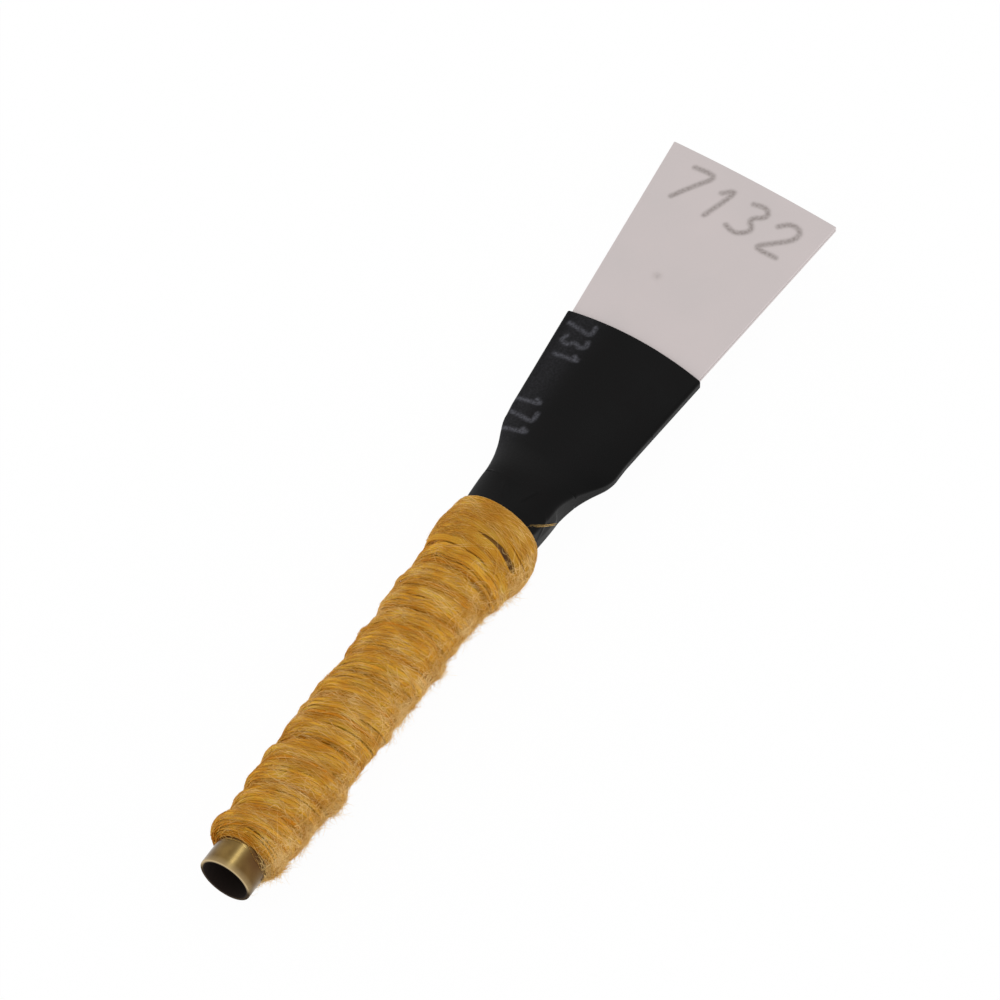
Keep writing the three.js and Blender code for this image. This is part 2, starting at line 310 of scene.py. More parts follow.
def blade_face(x, across, depth_share):
    """Points y and z of the upper blade at a place x, across it from -1 to 1, from its inner face at
    depth share 0 to its outer face at 1. Its arch is an oval at the tail and a shallow bow further out."""
    widening = smooth(x, SHOULDER, KNEE)
    wedge = np.clip((x - KNEE) / (TIP - KNEE), 0, 1)
    past_mouth = np.clip((x - MOUTH) / (TIP - MOUTH), 0, 1)
    grip_wide, grip_flat = staple_oval(np.minimum(x, MOUTH))
    arch_half = mix(grip_wide + LAYER_GAP, mix(KNEE_WIDTH, TIP_WIDTH, wedge) / 2, widening)
    centre = mix(widening * KNEE_DRIFT, TIP_DRIFT, wedge) + widening * lean_at(SLEEVE_LEANS, x)
    share = mix(TAIL_COVER, 1, widening) * across
    side = widening * SIDE_GAP / 2
    middle = mix(TIP_OPENING / 2, grip_flat + LAYER_GAP, (1 - past_mouth) ** THROAT_POWER)
    power = mix(0.5, 1, widening)
    room = 1 - share**2
    slope = -2 * share * power * (middle - side) * room ** (power - 1) / arch_half
    stretch = blade_thickness(x) * depth_share / np.hypot(slope, 1)
    return centre + arch_half * share - slope * stretch, side + (middle - side) * room**power + stretch


def wrapped_outline(x, samples=240):
    """Points y and z round everything that the lashing and the sleeve wrap."""
    across = np.linspace(-1, 1, samples)
    outline = []
    if x <= MOUTH + LAYER_GAP:
        wide, flat = staple_oval(min(x, MOUTH))
        turn = np.linspace(0, FULL_TURN, samples)
        outline.append(np.stack([wide * np.cos(turn), flat * np.sin(turn)], axis=1))
    for depth_share in (0, 1):
        y, z = blade_face(np.full(samples, max(x, TAIL_END)), across, depth_share)
        outline += [np.stack([y, z], axis=1), np.stack([y, -z], axis=1)]
    return np.concatenate(outline)


def taut_ring(x, distance, sides, samples=720):
    """A ring at one distance outside what is wrapped, as a taut skin lies, with even steps round it."""
    outline = wrapped_outline(float(np.clip(x, LASHING_START, LIP)))
    wide, flat = np.ptp(outline, axis=0) / 2
    turn = np.linspace(0, FULL_TURN, samples + 1)
    normal = unit(np.stack([flat * np.cos(turn), wide * np.sin(turn)], axis=1))
    touching = outline[np.argmax(normal @ outline.T, axis=1)] + distance * normal
    reach = reach_along(touching)
    even = np.linspace(0, reach[-1], sides + 1)[:-1]
    y, z = (np.interp(even, reach, touching[:, i]) for i in range(2))
    return np.stack([np.full(sides, x), y, z], axis=1)


def settled(x):
    """0 where the sleeve lies on the lashing, easing to 1 where it lies on the blades."""
    clear = LASHING_END + LAYER_GAP
    return smooth(x, clear, clear + SLEEVE_EASE)


def sleeve_standoff(x):
    """From the sleeve's inner face to what is wrapped: the lashing lies between them at the neck."""
    return mix(LAYER_GAP + LASHING_THICKNESS + SLEEVE_GAP, SLEEVE_GAP, settled(x))


def sleeve_wall(x):
    return mix(NECK_WALL, SLEEVE_WALL, settled(x))


# Materials


def add_node(tree, kind, inputs=None, **settings):
    """A node with its settings, and its inputs set to values or linked from other nodes' outputs."""
    node = tree.nodes.new("ShaderNode" + kind)
    for setting, value in settings.items():
        setattr(node, setting, value)
    for socket, value in (inputs or {}).items():
        if isinstance(value, bpy.types.NodeSocket):
            tree.links.new(value, node.inputs[socket])
        else:
            node.inputs[socket].default_value = value
    return node


def math_node(tree, operation, first, second, clamp=False):
    node = add_node(tree, "Math", {0: first, 1: second}, operation=operation, use_clamp=clamp)
    return node.outputs[0]


def weighted_sum(tree, *parts):
    """Outputs added up, each times its weight."""
    total, *others = [math_node(tree, "MULTIPLY", output, weight) for output, weight in parts]
    for product in others:
        total = math_node(tree, "ADD", total, product)
    return total


def range_node(tree, value, low, high, to_low=0.0, to_high=1.0):
    """A value from low to high, spread over another range and held within it."""
    inputs = {"Value": value, "From Min": low, "From Max": high, "To Min": to_low, "To Max": to_high}
    return add_node(tree, "MapRange", inputs).outputs["Result"]


def between(tree, low, high, share):
    return range_node(tree, share, 0, 1, low, high)


def colour_mix(tree, share, first, second):
    node = add_node(tree, "Mix", {"Factor": share, 6: first, 7: second}, data_type="RGBA")
    return node.outputs[2]


def painted(tree, label, output="Fac"):
    """A value that is kept on the points of the mesh."""
    return add_node(tree, "Attribute", attribute_name=label).outputs[output]


def linear(red, green, blue):
    """A colour as seen on a screen, 0 to 255, as the shader wants it: without the screen's curve."""
    shares = [c / 255 for c in (red, green, blue)]
    return tuple(s / 12.92 if s <= 0.04045 else ((s + 0.055) / 1.055) ** 2.4 for s in shares) + (1.0,)


def new_group(name, inputs, outputs):
    group = bpy.data.node_groups.new(name, "ShaderNodeTree")
    for label, kind in inputs.items():
        group.interface.new_socket(label, in_out="INPUT", socket_type="NodeSocket" + kind)
    for label in outputs:
        group.interface.new_socket(label, in_out="OUTPUT", socket_type="NodeSocketFloat")
    return group, group.nodes.new("NodeGroupInput").outputs, group.nodes.new("NodeGroupOutput").inputs


NOISE_LOW = 0.3  # the noise that a pattern shows as 0, and as 1
NOISE_HIGH = 0.7


def streaks_group():
    """Fine streaks that run along a thread. Length and Width are the size of one streak, in millimetres."""
    inputs = {"Lay": "Vector", "Length": "Float", "Width": "Float", "Offset": "Float"}
    group, given, result = new_group("Thread streaks", inputs, ["Streak"])
    parts = add_node(group, "SeparateXYZ", {"Vector": given["Lay"]}).outputs
    stretched = add_node(group, "CombineXYZ", {
        "X": math_node(group, "DIVIDE", parts["X"], given["Length"]),
        "Y": math_node(group, "DIVIDE", parts["Y"], given["Width"]),
        "Z": math_node(group, "ADD", parts["Z"], given["Offset"]),
    })
    noise = add_node(group, "TexNoise", {"Vector": stretched.outputs[0], "Scale": 1.0, "Detail": 3.0})
    streak = range_node(group, noise.outputs["Fac"], NOISE_LOW, NOISE_HIGH)
    group.links.new(streak, result["Streak"])
    return group


def patches_group():
    """Soft patches over a surface. Size is one patch's, in metres."""
    inputs = {"Place": "Vector", "Size": "Float", "Detail": "Float", "Offset": "Float"}
    group, given, result = new_group("Soft patches", inputs, ["Patch"])
    offset = add_node(group, "CombineXYZ", {"X": given["Offset"], "Y": 0.0, "Z": 0.0}).outputs[0]
    inverse = math_node(group, "DIVIDE", 1.0, given["Size"])
    scaled = add_node(group, "VectorMath", {0: given["Place"], "Scale": inverse}, operation="SCALE")
    moved = add_node(group, "VectorMath", {0: scaled.outputs[0], 1: offset}, operation="ADD").outputs[0]
    noise = add_node(group, "TexNoise", {"Vector": moved, "Scale": 1.0, "Detail": given["Detail"]})
    patch = range_node(group, noise.outputs["Fac"], NOISE_LOW, NOISE_HIGH)
    group.links.new(patch, result["Patch"])
    return group


STREAKS = streaks_group()
PATCHES = patches_group()


def streaks(tree, length, width, offset):
    lay = painted(tree, "lay", "Vector")
    inputs = {"Lay": lay, "Length": length, "Width": width, "Offset": offset}
    return add_node(tree, "Group", inputs, node_tree=STREAKS).outputs["Streak"]


def patches(tree, size, detail, offset):
    place = add_node(tree, "TexCoord").outputs["Object"]
    inputs = {"Place": place, "Size": size, "Detail": detail, "Offset": offset}
    return add_node(tree, "Group", inputs, node_tree=PATCHES).outputs["Patch"]


def new_material(name):
    """A material, its node tree and its plain shader."""
    material = bpy.data.materials.new(name)
    material.use_nodes = True
    return material, material.node_tree, material.node_tree.nodes["Principled BSDF"]


def set_surface(tree, shader, colour, roughness, height, relief):
    """Gives the shader its colour, its roughness and bumps up to the relief high."""
    bump = add_node(tree, "Bump", {"Height": height, "Distance": relief, "Strength": 1.0})
    surface = {"Base Color": colour, "Roughness": roughness, "Normal": bump.outputs["Normal"]}
    for socket, output in surface.items():
        tree.links.new(output, shader.inputs[socket])


# Colours of the brass, the blades, the sleeve and the inner hemp
CLEAN_BRASS = linear(130, 104, 59)
TARNISHED_BRASS = linear(102, 79, 43)
WORN_BRASS = linear(168, 144, 90)
STAINED_BRASS = linear(92, 62, 38)
RUBBED_RIM = linear(200, 176, 132)
DARK_BORE = linear(34, 22, 16)
BLADE_WHITE = linear(198, 188, 187)
CLOUDED_WHITE = linear(195, 186, 185)
PENCIL_GREY = linear(140, 131, 128)
SLEEVE_BLACK = linear(5, 5, 5)
FADED_BLACK = linear(8, 7, 7)
PRINT_GREY = linear(82, 82, 88)
DARK_BED = linear(190, 129, 36)
LIGHT_BED = linear(210, 153, 54)
DEEP_BED = linear(74, 44, 20)


def brass_material():
    """Drawn brass with a brown-green tarnish. The bore is dull and dark. The rim has a painted highlight
    on its upper side and painted shade below. A painted highlight streak runs along the top, and painted
    shade lies on the right side, most towards the hemp.
    """
    material, tree, shader = new_material("Tarnished brass")
    patch = patches(tree, size=1.3 * MM, detail=4.0, offset=3.0)
    grain = patches(tree, size=0.3 * MM, detail=3.0, offset=11.0)
    bore = painted(tree, "bore")
    colour = colour_mix(tree, patch, CLEAN_BRASS, TARNISHED_BRASS)
    # a painted highlight streak along the top
    colour = colour_mix(tree, painted(tree, "worn"), colour, WORN_BRASS)
    # painted shade on the right side, stronger towards the hemp
    colour = colour_mix(tree, painted(tree, "stain"), colour, STAINED_BRASS)
    # a painted highlight on the rim's upper side
    colour = colour_mix(tree, painted(tree, "rim"), colour, RUBBED_RIM)
    # the bore's dull dark, which also holds painted shade on the rim's underside
    colour = colour_mix(tree, bore, colour, DARK_BORE)
    roughness = math_node(tree, "ADD", between(tree, 0.2, 0.27, grain), bore, clamp=True)
    metallic = between(tree, 1.0, 0.3, bore)
    tree.links.new(metallic, shader.inputs["Metallic"])
    set_surface(tree, shader, colour, roughness, height=grain, relief=0.001 * MM)
    return material


def blade_material():
    """Satin white plastic with faint clouding, soft pencil marks and a speck of dirt."""
    material, tree, shader = new_material("White blade plastic")
    cloud = patches(tree, size=6 * MM, detail=2.0, offset=1.0)
    grain = patches(tree, size=0.25 * MM, detail=3.0, offset=5.0)
    lead = math_node(tree, "MULTIPLY", painted(tree, "pencil"), between(tree, 0.55, 1.0, grain))
    colour = colour_mix(tree, cloud, BLADE_WHITE, CLOUDED_WHITE)
    colour = colour_mix(tree, lead, colour, PENCIL_GREY)
    roughness = between(tree, 0.42, 0.55, grain)
    shader.inputs["Specular IOR Level"].default_value = 0.3
    set_surface(tree, shader, colour, roughness, height=grain, relief=0.003 * MM)
    return material


def sleeve_material():
    """Black shrunk plastic, satin, with a fine pebbled skin, rubbed grey print marks and a painted grey
    sheen along its upper left side.
    """
    material, tree, shader = new_material("Black sleeve plastic")
    patch = patches(tree, size=2.4 * MM, detail=3.0, offset=2.0)
    grain = patches(tree, size=0.22 * MM, detail=3.0, offset=9.0)
    rubbed = range_node(tree, grain, 0.1, 0.9, 0.35, 1.0)
    # the print, and a painted sheen on the upper left side
    ink = math_node(tree, "MULTIPLY", painted(tree, "ink"), rubbed)
    colour = colour_mix(tree, patch, SLEEVE_BLACK, FADED_BLACK)
    colour = colour_mix(tree, ink, colour, PRINT_GREY)
    roughness = between(tree, 0.38, 0.5, patch)
    shader.inputs["Specular IOR Level"].default_value = 0.085
    set_surface(tree, shader, colour, roughness, height=grain, relief=0.006 * MM)
    return material


# A thread's tone at which each of its three colours is full
DARK_TONE = 0.2
MIDDLE_TONE = 0.58
LIGHT_TONE = 1.0


def thread_material(name, dark, middle, light, covered, glow=0.0):
    """Fibrous thread: streaks along its lay, its own tone, and painted shade where other turns cover it.
    Glow is how much light passes through it."""
    material, tree, shader = new_material(name)
    coarse = streaks(tree, length=2.4, width=0.14, offset=0.0)
    fine = streaks(tree, length=0.9, width=0.05, offset=31.0)
    patch = patches(tree, size=2.2 * MM, detail=3.0, offset=4.0)
    tone = weighted_sum(tree, (coarse, 0.12), (fine, 0.08), (patch, 0.5), (painted(tree, "tone"), 0.5))
    ramp = add_node(tree, "ValToRGB", {"Fac": tone})
    ramp.color_ramp.elements[0].position = DARK_TONE
    ramp.color_ramp.elements[0].color = dark
    ramp.color_ramp.elements[1].position = LIGHT_TONE
    ramp.color_ramp.elements[1].color = light
    ramp.color_ramp.elements.new(MIDDLE_TONE).color = middle
    # painted shade where other turns cover the thread
    buried = between(tree, 0, 0.85, painted(tree, "buried"))
    colour = colour_mix(tree, buried, ramp.outputs["Color"], covered)
    shader.inputs["Specular IOR Level"].default_value = 0.05
    shader.inputs["Subsurface Weight"].default_value = glow
    shader.inputs["Subsurface Radius"].default_value = (1.0, 0.55, 0.2)
    shader.inputs["Subsurface Scale"].default_value = 0.25 * MM
    roughness = between(tree, 0.52, 0.77, fine)
    height = weighted_sum(tree, (coarse, 0.6), (fine, 0.4))
    set_surface(tree, shader, colour, roughness, height, relief=0.015 * MM)
    return material


def bed_material():
    """The inner hemp: dark, waxed and matted, with painted shade at the bottom of the collar's slot."""
    material, tree, shader = new_material("Matted inner hemp")
    patch = patches(tree, size=0.35 * MM, detail=3.0, offset=8.0)
    colour = colour_mix(tree, patch, DARK_BED, LIGHT_BED)
    # painted shade at the bottom of the collar's slot
    colour = colour_mix(tree, painted(tree, "deep"), colour, DEEP_BED)
    roughness = between(tree, 0.6, 0.8, patch)
    set_surface(tree, shader, colour, roughness, height=patch, relief=0.05 * MM)
    return material


BRASS = brass_material()
BLADE_PLASTIC = blade_material()
SLEEVE_PLASTIC = sleeve_material()
HEMP = thread_material(
    "Waxed hemp", dark=linear(202, 131, 29), middle=linear(206, 150, 48), light=linear(210, 168, 71),
    covered=linear(178, 110, 22), glow=0.25)
TIGHT_HEMP = thread_material(
    "Tight waxed hemp", dark=linear(182, 118, 28), middle=linear(192, 140, 46), light=linear(200, 160, 70),
    covered=linear(172, 106, 22), glow=0.25)
LOOSE_HEMP = thread_material(
    "Loose hemp", dark=linear(206, 146, 56), middle=linear(222, 172, 82), light=linear(252, 218, 150),
    covered=linear(200, 140, 50))
HEMP_BED = bed_material()
LASHING_COTTON = thread_material(
    "Lashing thread", dark=linear(196, 186, 160), middle=linear(216, 207, 184), light=linear(232, 226, 208),
    covered=linear(150, 138, 110))


# Plain numerals, as strokes in a box one wide and one high

NUMERAL_STROKES = {
    "1": [(0.25, 0.72), (0.6, 1.0), (0.5, 0.0)],
    "2": [(0.08, 0.78), (0.3, 1.0), (0.75, 0.98), (0.9, 0.7), (0.5, 0.35), (0.05, 0.0), (0.95, 0.04)],
    "3": [(0.1, 0.92), (0.55, 1.0), (0.85, 0.78), (0.4, 0.53), (0.9, 0.3), (0.55, 0.0), (0.05, 0.1)],
    "7": [(0.05, 0.95), (0.95, 1.0), (0.62, 0.5), (0.35, 0.0)],
}
STROKE_ROUNDS = 2  # of cutting a stroke's corners


def stroke_marks(places, numerals, half_width):
    """How much of a mark lies at each place. A numeral is its sign, centre, height, width and the two
    directions that are right and up for its reader."""
    marks = np.zeros(len(places))
    for sign, centre, height, width, right, up in numerals:
        line = np.array(NUMERAL_STROKES[sign]) - 0.5
        for _ in range(STROKE_ROUNDS):
            quarter, three_quarters = mix(line[:-1], line[1:], 0.25), mix(line[:-1], line[1:], 0.75)
            cut = np.stack([quarter, three_quarters], axis=1).reshape(-1, 2)
            line = np.concatenate([line[:1], cut[1:-1], line[-1:]])
        rightward = line[:, :1] * width * np.array(right)
        upward = line[:, 1:] * height * np.array(up)
        line = np.array(centre) + rightward + upward
        for start, end in zip(line[:-1], line[1:]):
            step = end - start
            share = np.clip((places - start) @ step / (step @ step), 0, 1)
            distance = np.linalg.norm(places - start - share[:, None] * step, axis=1)
            marks = np.maximum(marks, np.exp(-((distance / half_width) ** 3)))
    return marks


# Staple, blades, lashing and sleeve

# Painted shade on the staple's right side, stronger towards the hemp
STAIN_DEGREES = 140
STAIN_SPREAD = 27
STAIN_END = 2.5 * MM
STAIN_AT_RIM = 0.3
STAIN_AT_HEMP = 0.9

# A painted highlight streak along its top
WORN_DEGREES = 99
WORN_SPREAD = 8

# Its rim has a painted highlight on the upper side and painted shade below: sine of the angle where that
# changes
RUBBED_FROM = -0.2
RUBBED_TO = 0.4
RIM_GRIME = 0.8
BORE_RIM_SHARE = 0.4  # how bright the rim is on the bore's side, as a share of the outer side's


def make_staple(rows=80, sides=128):
    places, insets = rounded_ends(0, MOUTH, rows, STAPLE_WALL, STAPLE_ROUNDING)
    wide, flat = staple_oval(places)
    outer, inner = (
        oval_rings(places, (wide - inset)[:, None], (flat - inset)[:, None], sides)
        for inset in (insets, STAPLE_WALL - insets)
    )
    there_and_back = np.concatenate([places, places[::-1]])
    bore = np.repeat([0.0, 1.0], len(places))
    bore[-1] = bore[len(places)] = 0.5
    inside = bore[:, None]
    angles = ring_angles(sides)[None, :]
    upper = smooth(np.sin(angles), RUBBED_FROM, RUBBED_TO)
    rim = np.exp(-there_and_back / STAPLE_ROUNDING)[:, None]
    # the bore's own dark, with painted shade on the rim's underside
    grime = np.maximum(inside, RIM_GRIME * rim * (1 - upper))
    # a painted highlight on the rim's upper side
    rubbed = rim * upper * (1 - (1 - BORE_RIM_SHARE) * inside)
    # painted shade on the right side, stronger towards the hemp
    strength = mix(STAIN_AT_RIM, STAIN_AT_HEMP, smooth(there_and_back, STAPLE_ROUNDING, STAIN_END))
    stain = bell(np.degrees(angles), STAIN_DEGREES, STAIN_SPREAD) * strength[:, None] * (1 - inside)
    # a painted highlight streak along the top
    worn = bell(np.degrees(angles), WORN_DEGREES, WORN_SPREAD) * (1 - inside)
    piece = wall_mesh("staple_tube", outer, inner, BRASS, bore=grime, rim=rubbed, stain=stain, worn=worn)
    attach(piece, "root")
    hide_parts("staple")


# Pencilled numerals near the tip: places back from the tip and across the blade
PENCIL_SIGNS = "7132"
PENCIL_BACK = np.linspace(3.6, 4.4, 4) * MM
PENCIL_ACROSS = np.linspace(5.4, -5.2, 4) * MM
PENCIL_HEIGHT = 4.3 * MM
PENCIL_WIDTH = 2.8 * MM
PENCIL_LEAN = 0.25
PENCIL_HALF_LINE = 0.3 * MM
SPECK = (78.3, 2.4)  # place and distance across, in millimetres
SPECK_HALF_SIZE = 0.4 * MM
SPECK_STRENGTH = 0.5


def pencil_marks(places):
    numerals = [
        (sign, (TIP - back, y), PENCIL_HEIGHT, PENCIL_WIDTH, (0, -1), (1, -PENCIL_LEAN))
        for sign, back, y in zip(PENCIL_SIGNS, PENCIL_BACK, PENCIL_ACROSS)
    ]
    marks = stroke_marks(places, numerals, PENCIL_HALF_LINE)
    from_speck = np.linalg.norm(places - np.array(SPECK) * MM, axis=1)
    return np.maximum(marks, SPECK_STRENGTH * bell(from_speck, 0, SPECK_HALF_SIZE))


def blade_section(places, insets, columns):
    """Across and depth shares of the points over the outer half of a blade's section, at each place. The
    insets are how far the section has shrunk in the rounding of the tip."""
    back, inset = rounded(BLADE_ROUNDING)
    thickness = blade_thickness(places)
    left, right = (blade_face(places, np.full(len(places), end), 0)[0] for end in (1, -1))
    edge_share = 1 - (inset + insets[:, None]) / ((left - right) / 2)[:, None]
    edge_depth = 1 - back / thickness[:, None]
    flat_share = np.linspace(-1, 1, columns)[1:-1] * edge_share[:, -1:]
    across = np.concatenate([-edge_share, flat_share, edge_share[:, ::-1]], axis=1)
    depth = np.concatenate([edge_depth, np.ones(flat_share.shape), edge_depth[:, ::-1]], axis=1)
    return across, 0.5 + (depth - 0.5) * (1 - 2 * insets / thickness)[:, None]


def make_blade(name, node, columns, hidden_rows, bare_rows, upper):
    """One blade from its tail on the staple to the tip, with its edges rounded over."""
    back, inset = rounded(BLADE_ROUNDING)
    hidden = np.linspace(TAIL_END, LIP, hidden_rows)
    bare = np.linspace(LIP, TIP - BLADE_ROUNDING, bare_rows)[1:]
    places = np.concatenate([hidden, bare, TIP - back[1:]])
    insets = np.concatenate([np.zeros(len(hidden) + len(bare)), inset[1:]])
    across, depth = blade_section(places, insets, columns)
    x = np.broadcast_to(places[:, None], across.shape)
    outer = np.stack([x, *blade_face(x, across, depth)], axis=-1)
    inner = np.stack([x, *blade_face(x, across, 1 - depth)], axis=-1)
    rings = np.concatenate([outer, inner[:, ::-1]], axis=1)
    rows, size = rings.shape[:2]
    pair = np.arange(size // 2 - 1)
    strip = np.stack([pair, size - 1 - pair, size - 2 - pair, pair + 1], axis=1)
    blocks = [ring_faces(rows, size)[:, ::-1], strip[:, ::-1], strip + (rows - 1) * size]
    points = rings.reshape(-1, 3)
    pencil = np.zeros(len(points))
    if upper:
        on_top = np.tile(np.arange(size) < size // 2, rows) & (points[:, 0] > LIP)
        pencil[on_top] = pencil_marks(points[on_top, :2])
    else:
        points = points * np.array([1, 1, -1])
        blocks = [block[:, ::-1] for block in blocks]
    piece = make_mesh(name, placed(points), blocks, BLADE_PLASTIC, pencil=pencil)
    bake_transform(piece)
    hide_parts(node)


# Rubbed printing on the sleeve: groups of plain numerals that run along its left side
INK_GROUPS = [("731", 69.1, 5.2), ("171", 59.4, 4.8)]
INK_STEP = 1.8 * MM
INK_SLANT = 0.2
INK_LEAN = 0.12
INK_HEIGHT = 2.7 * MM
INK_WIDTH = 1.3 * MM
INK_HALF_LINE = 0.26 * MM
INK_STRENGTH = 0.85
# A painted sheen: a broad faint grey band along the sleeve's upper left side
HAZE_ACROSS = 5.4 * MM
HAZE_SPREAD = 1.7 * MM
HAZE_STRENGTH = 0.16

# Creases in the sleeve's neck: place, length along, angle round, and how much they turn
NECK_CREASES = [(47.1, 1.5, 150, 20), (47.9, 1.8, 165, -25), (49.3, 2.2, 120, 15), (48.6, 1.6, 75, -18)]
CREASE_HEIGHT = 0.07 * MM
CREASE_HALF_WIDTH = 0.16 * MM


def ink_marks(points):
    """Printing on the sleeve's upper side, rubbed away in part, and a painted sheen along its upper left
    side.
    """
    numerals = []
    for signs, first, y in INK_GROUPS:
        for number, sign in enumerate(signs):
            centre = (first * MM - number * INK_STEP, y * MM - number * INK_STEP * INK_SLANT)
            numerals.append((sign, centre, INK_HEIGHT, INK_WIDTH, (-1, 0), (INK_LEAN, -1)))
    marks = np.zeros(len(points))
    above = points[:, 2] > 0
    marks[above] = stroke_marks(points[above, :2], numerals, INK_HALF_LINE)
    # painted sheen along the upper left side
    haze = HAZE_STRENGTH * bell(points[:, 1], HAZE_ACROSS, HAZE_SPREAD) * above
    return np.maximum(marks * INK_STRENGTH, haze)


def creased(points):
    """Sleeve points pushed out where the neck is creased."""
    angle = np.arctan2(points[..., 2], points[..., 1])
    radius = np.hypot(points[..., 1], points[..., 2])
    rise = np.zeros(radius.shape)
    for x, length, degrees, turn in NECK_CREASES:
        ahead = (points[..., 0] - x * MM) / (length * MM)
        middle = math.radians(degrees) + math.radians(turn) * ahead
        aside = (angle - middle) * radius / CREASE_HALF_WIDTH
        rise += CREASE_HEIGHT * np.exp(-(aside**2) - (2 * ahead) ** 4)
    scale = 1 + rise / np.maximum(radius, MM)
    return points * np.stack([np.ones(scale.shape), scale, scale], axis=-1)


def shifted(rings, axis, distance):
    """Rings of points moved along one axis."""
    rings = rings.copy()
    rings[..., axis] += distance
    return rings


def leaning(rings):
    """Sleeve rings with the neck moved to the side, where the blades' own lean doesn't reach."""
    x = rings[:, :, 0]
    return shifted(rings, 1, lean_at(SLEEVE_LEANS, x) * (1 - smooth(x, SHOULDER, KNEE)))


def bowed(rings):
    """Sleeve rings with their sides drawn back, more so towards the lip."""
    half = np.abs(rings[:, :, 1]).max(axis=1, keepdims=True)
    return shifted(rings, 0, -LIP_BOW * smooth(rings[:, :, 0], KNEE, LIP) * (rings[:, :, 1] / half) ** 2)


def make_sleeve(rows=180, sides=240, inner_step=6):
    """The shrunk sleeve. Its inner side hardly shows, so it has fewer rings between its rims."""
    places, insets = rounded_ends(SLEEVE_START, LIP, rows, SLEEVE_WALL, SLEEVE_ROUNDING)
    rim, end = ROUNDING_STEPS + 1, len(places)
    few = np.r_[:rim, rim : end - rim : inner_step, end - rim : end]
    outer = [taut_ring(x, sleeve_standoff(x) + sleeve_wall(x) - i, sides) for x, i in zip(places, insets)]
    inner = [taut_ring(x, sleeve_standoff(x) + i, sides) for x, i in zip(places[few], insets[few])]
    outer = creased(bowed(leaning(np.array(outer))))
    inner = bowed(leaning(np.array(inner)))
    ink = np.concatenate([ink_marks(outer.reshape(-1, 3)), np.zeros(len(few) * sides)])
    piece = wall_mesh("shrink_sleeve_skin", outer, inner, SLEEVE_PLASTIC, ink=ink)
    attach(piece, "root")
    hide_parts("shrink_sleeve")


LASHING_FILL = 0.96  # share of its step that a turn of the thread fills
LASHING_TONE = 0.5


def make_lashing(rows=40, sides=64):
    """Close turns of thread over the blades' tails and the staple's mouth."""
    places = np.linspace(LASHING_START, LASHING_END, rows)
    distance = LAYER_GAP + LASHING_THICKNESS / 2
    rings = np.array([taut_ring(x, distance, sides) for x in places])
    start, end = LASHING_START + LASHING_THREAD / 2, LASHING_END - LASHING_THREAD / 2
    count = int((end - start) / LASHING_THREAD * sides)
    x = np.linspace(start, end, count)
    column = np.arange(count) % sides
    row = np.interp(x, places, np.arange(rows))
    below = np.minimum(row.astype(int), rows - 2)
    line = mix(rings[below, column], rings[below + 1, column], (row - below)[:, None])
    outward = unit(line * np.array([0, 1, 1]))
    half = LASHING_THREAD / 2 * LASHING_FILL
    strand = (line, outward, half, half, LASHING_TONE, 0.0)
    piece = strand_mesh("blade_binding", [strand], LASHING_COTTON, sides=6)
    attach(piece, "root")
    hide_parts("blade_lashing")


# Hemp

# The two flat bunches of the lapping and their strands
STRAND_WIDTH = 0.42 * MM
STRAND_HEIGHT = 0.12 * MM
STRANDS_IN_BUNCH = 14
STRAND_STEP = 0.21 * MM
STRAND_SHARES = 2 * np.arange(STRANDS_IN_BUNCH) / (STRANDS_IN_BUNCH - 1) - 1  # across a bunch, -1 to 1
STRAND_SINK = 0.03 * MM
STRAND_LIFT = 0.03 * MM  # how far a strand may lie above or below its bunch's dome
STRAND_WANDER = 0.1 * MM
STRAND_END_SPREAD = 0.2 * MM
STRAND_WIDTH_WANDER = 0.12  # as a share of its width
STRAND_TONES = (0.38, 0.62)
STRAND_TONE_WANDER = 0.12
BUNCH_DOME = 0.24 * MM
BUNCH_HALF_WIDTH = (STRANDS_IN_BUNCH - 1) / 2 * STRAND_STEP + STRAND_WIDTH / 2
BUNCH_TURNS = 6.2
BUNCH_END_TURNS = 0.75
BUNCH_FIRST_TURNS = [-0.25, 0.25]  # one bunch starts on the underside, the other on top
BUNCH_WANDER = 0.2 * MM
BUNCH_SWELL = 0.09  # how much its width varies
EDGE_BURIED = 0.9  # how deep in shade a bunch's edges lie

# The close turns under them
UNDER_WIDTH = 0.6 * MM
UNDER_HEIGHT = 0.24 * MM
UNDER_STEP = 0.5 * MM
UNDER_SINK = 0.08 * MM
UNDER_WANDER = 0.06 * MM
UNDER_TONE = 0.4
UNDER_TONE_WANDER = 0.1
# painted shade on the close turns, which lie under the bunches
UNDER_BURIED = 0.3

# The whole winding
HEMP_SLANT = 0.21  # how far a turn strays along the reed for each step round it
JOIN_DEPTH = 0.3 * MM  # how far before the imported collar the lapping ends, under the collar made here
HEMP_JOIN = COLLAR_START - JOIN_DEPTH
SHOULDER_LENGTH = 1.1 * MM  # over which the hemp rises from the bare staple
BED_CLEARANCE = LAYER_GAP / 8  # between the staple and the inner layers
CORE_TRIM = 0.18 * MM  # how far the loose inner layers sink under the outer ones
FOOT_TRIM = 0.36 * MM
END_TRIM = 0.68 * MM  # where the last turns of both bunches pile up
END_TRIM_START = 37.5 * MM
END_TRIM_FULL = 40 * MM
FOOT_SHIFT = 0.55 * MM
FOOT_SLANT = 0.25 * MM
FOOT_END = 7 * MM
FREE_DEPTH = 1.2 * MM

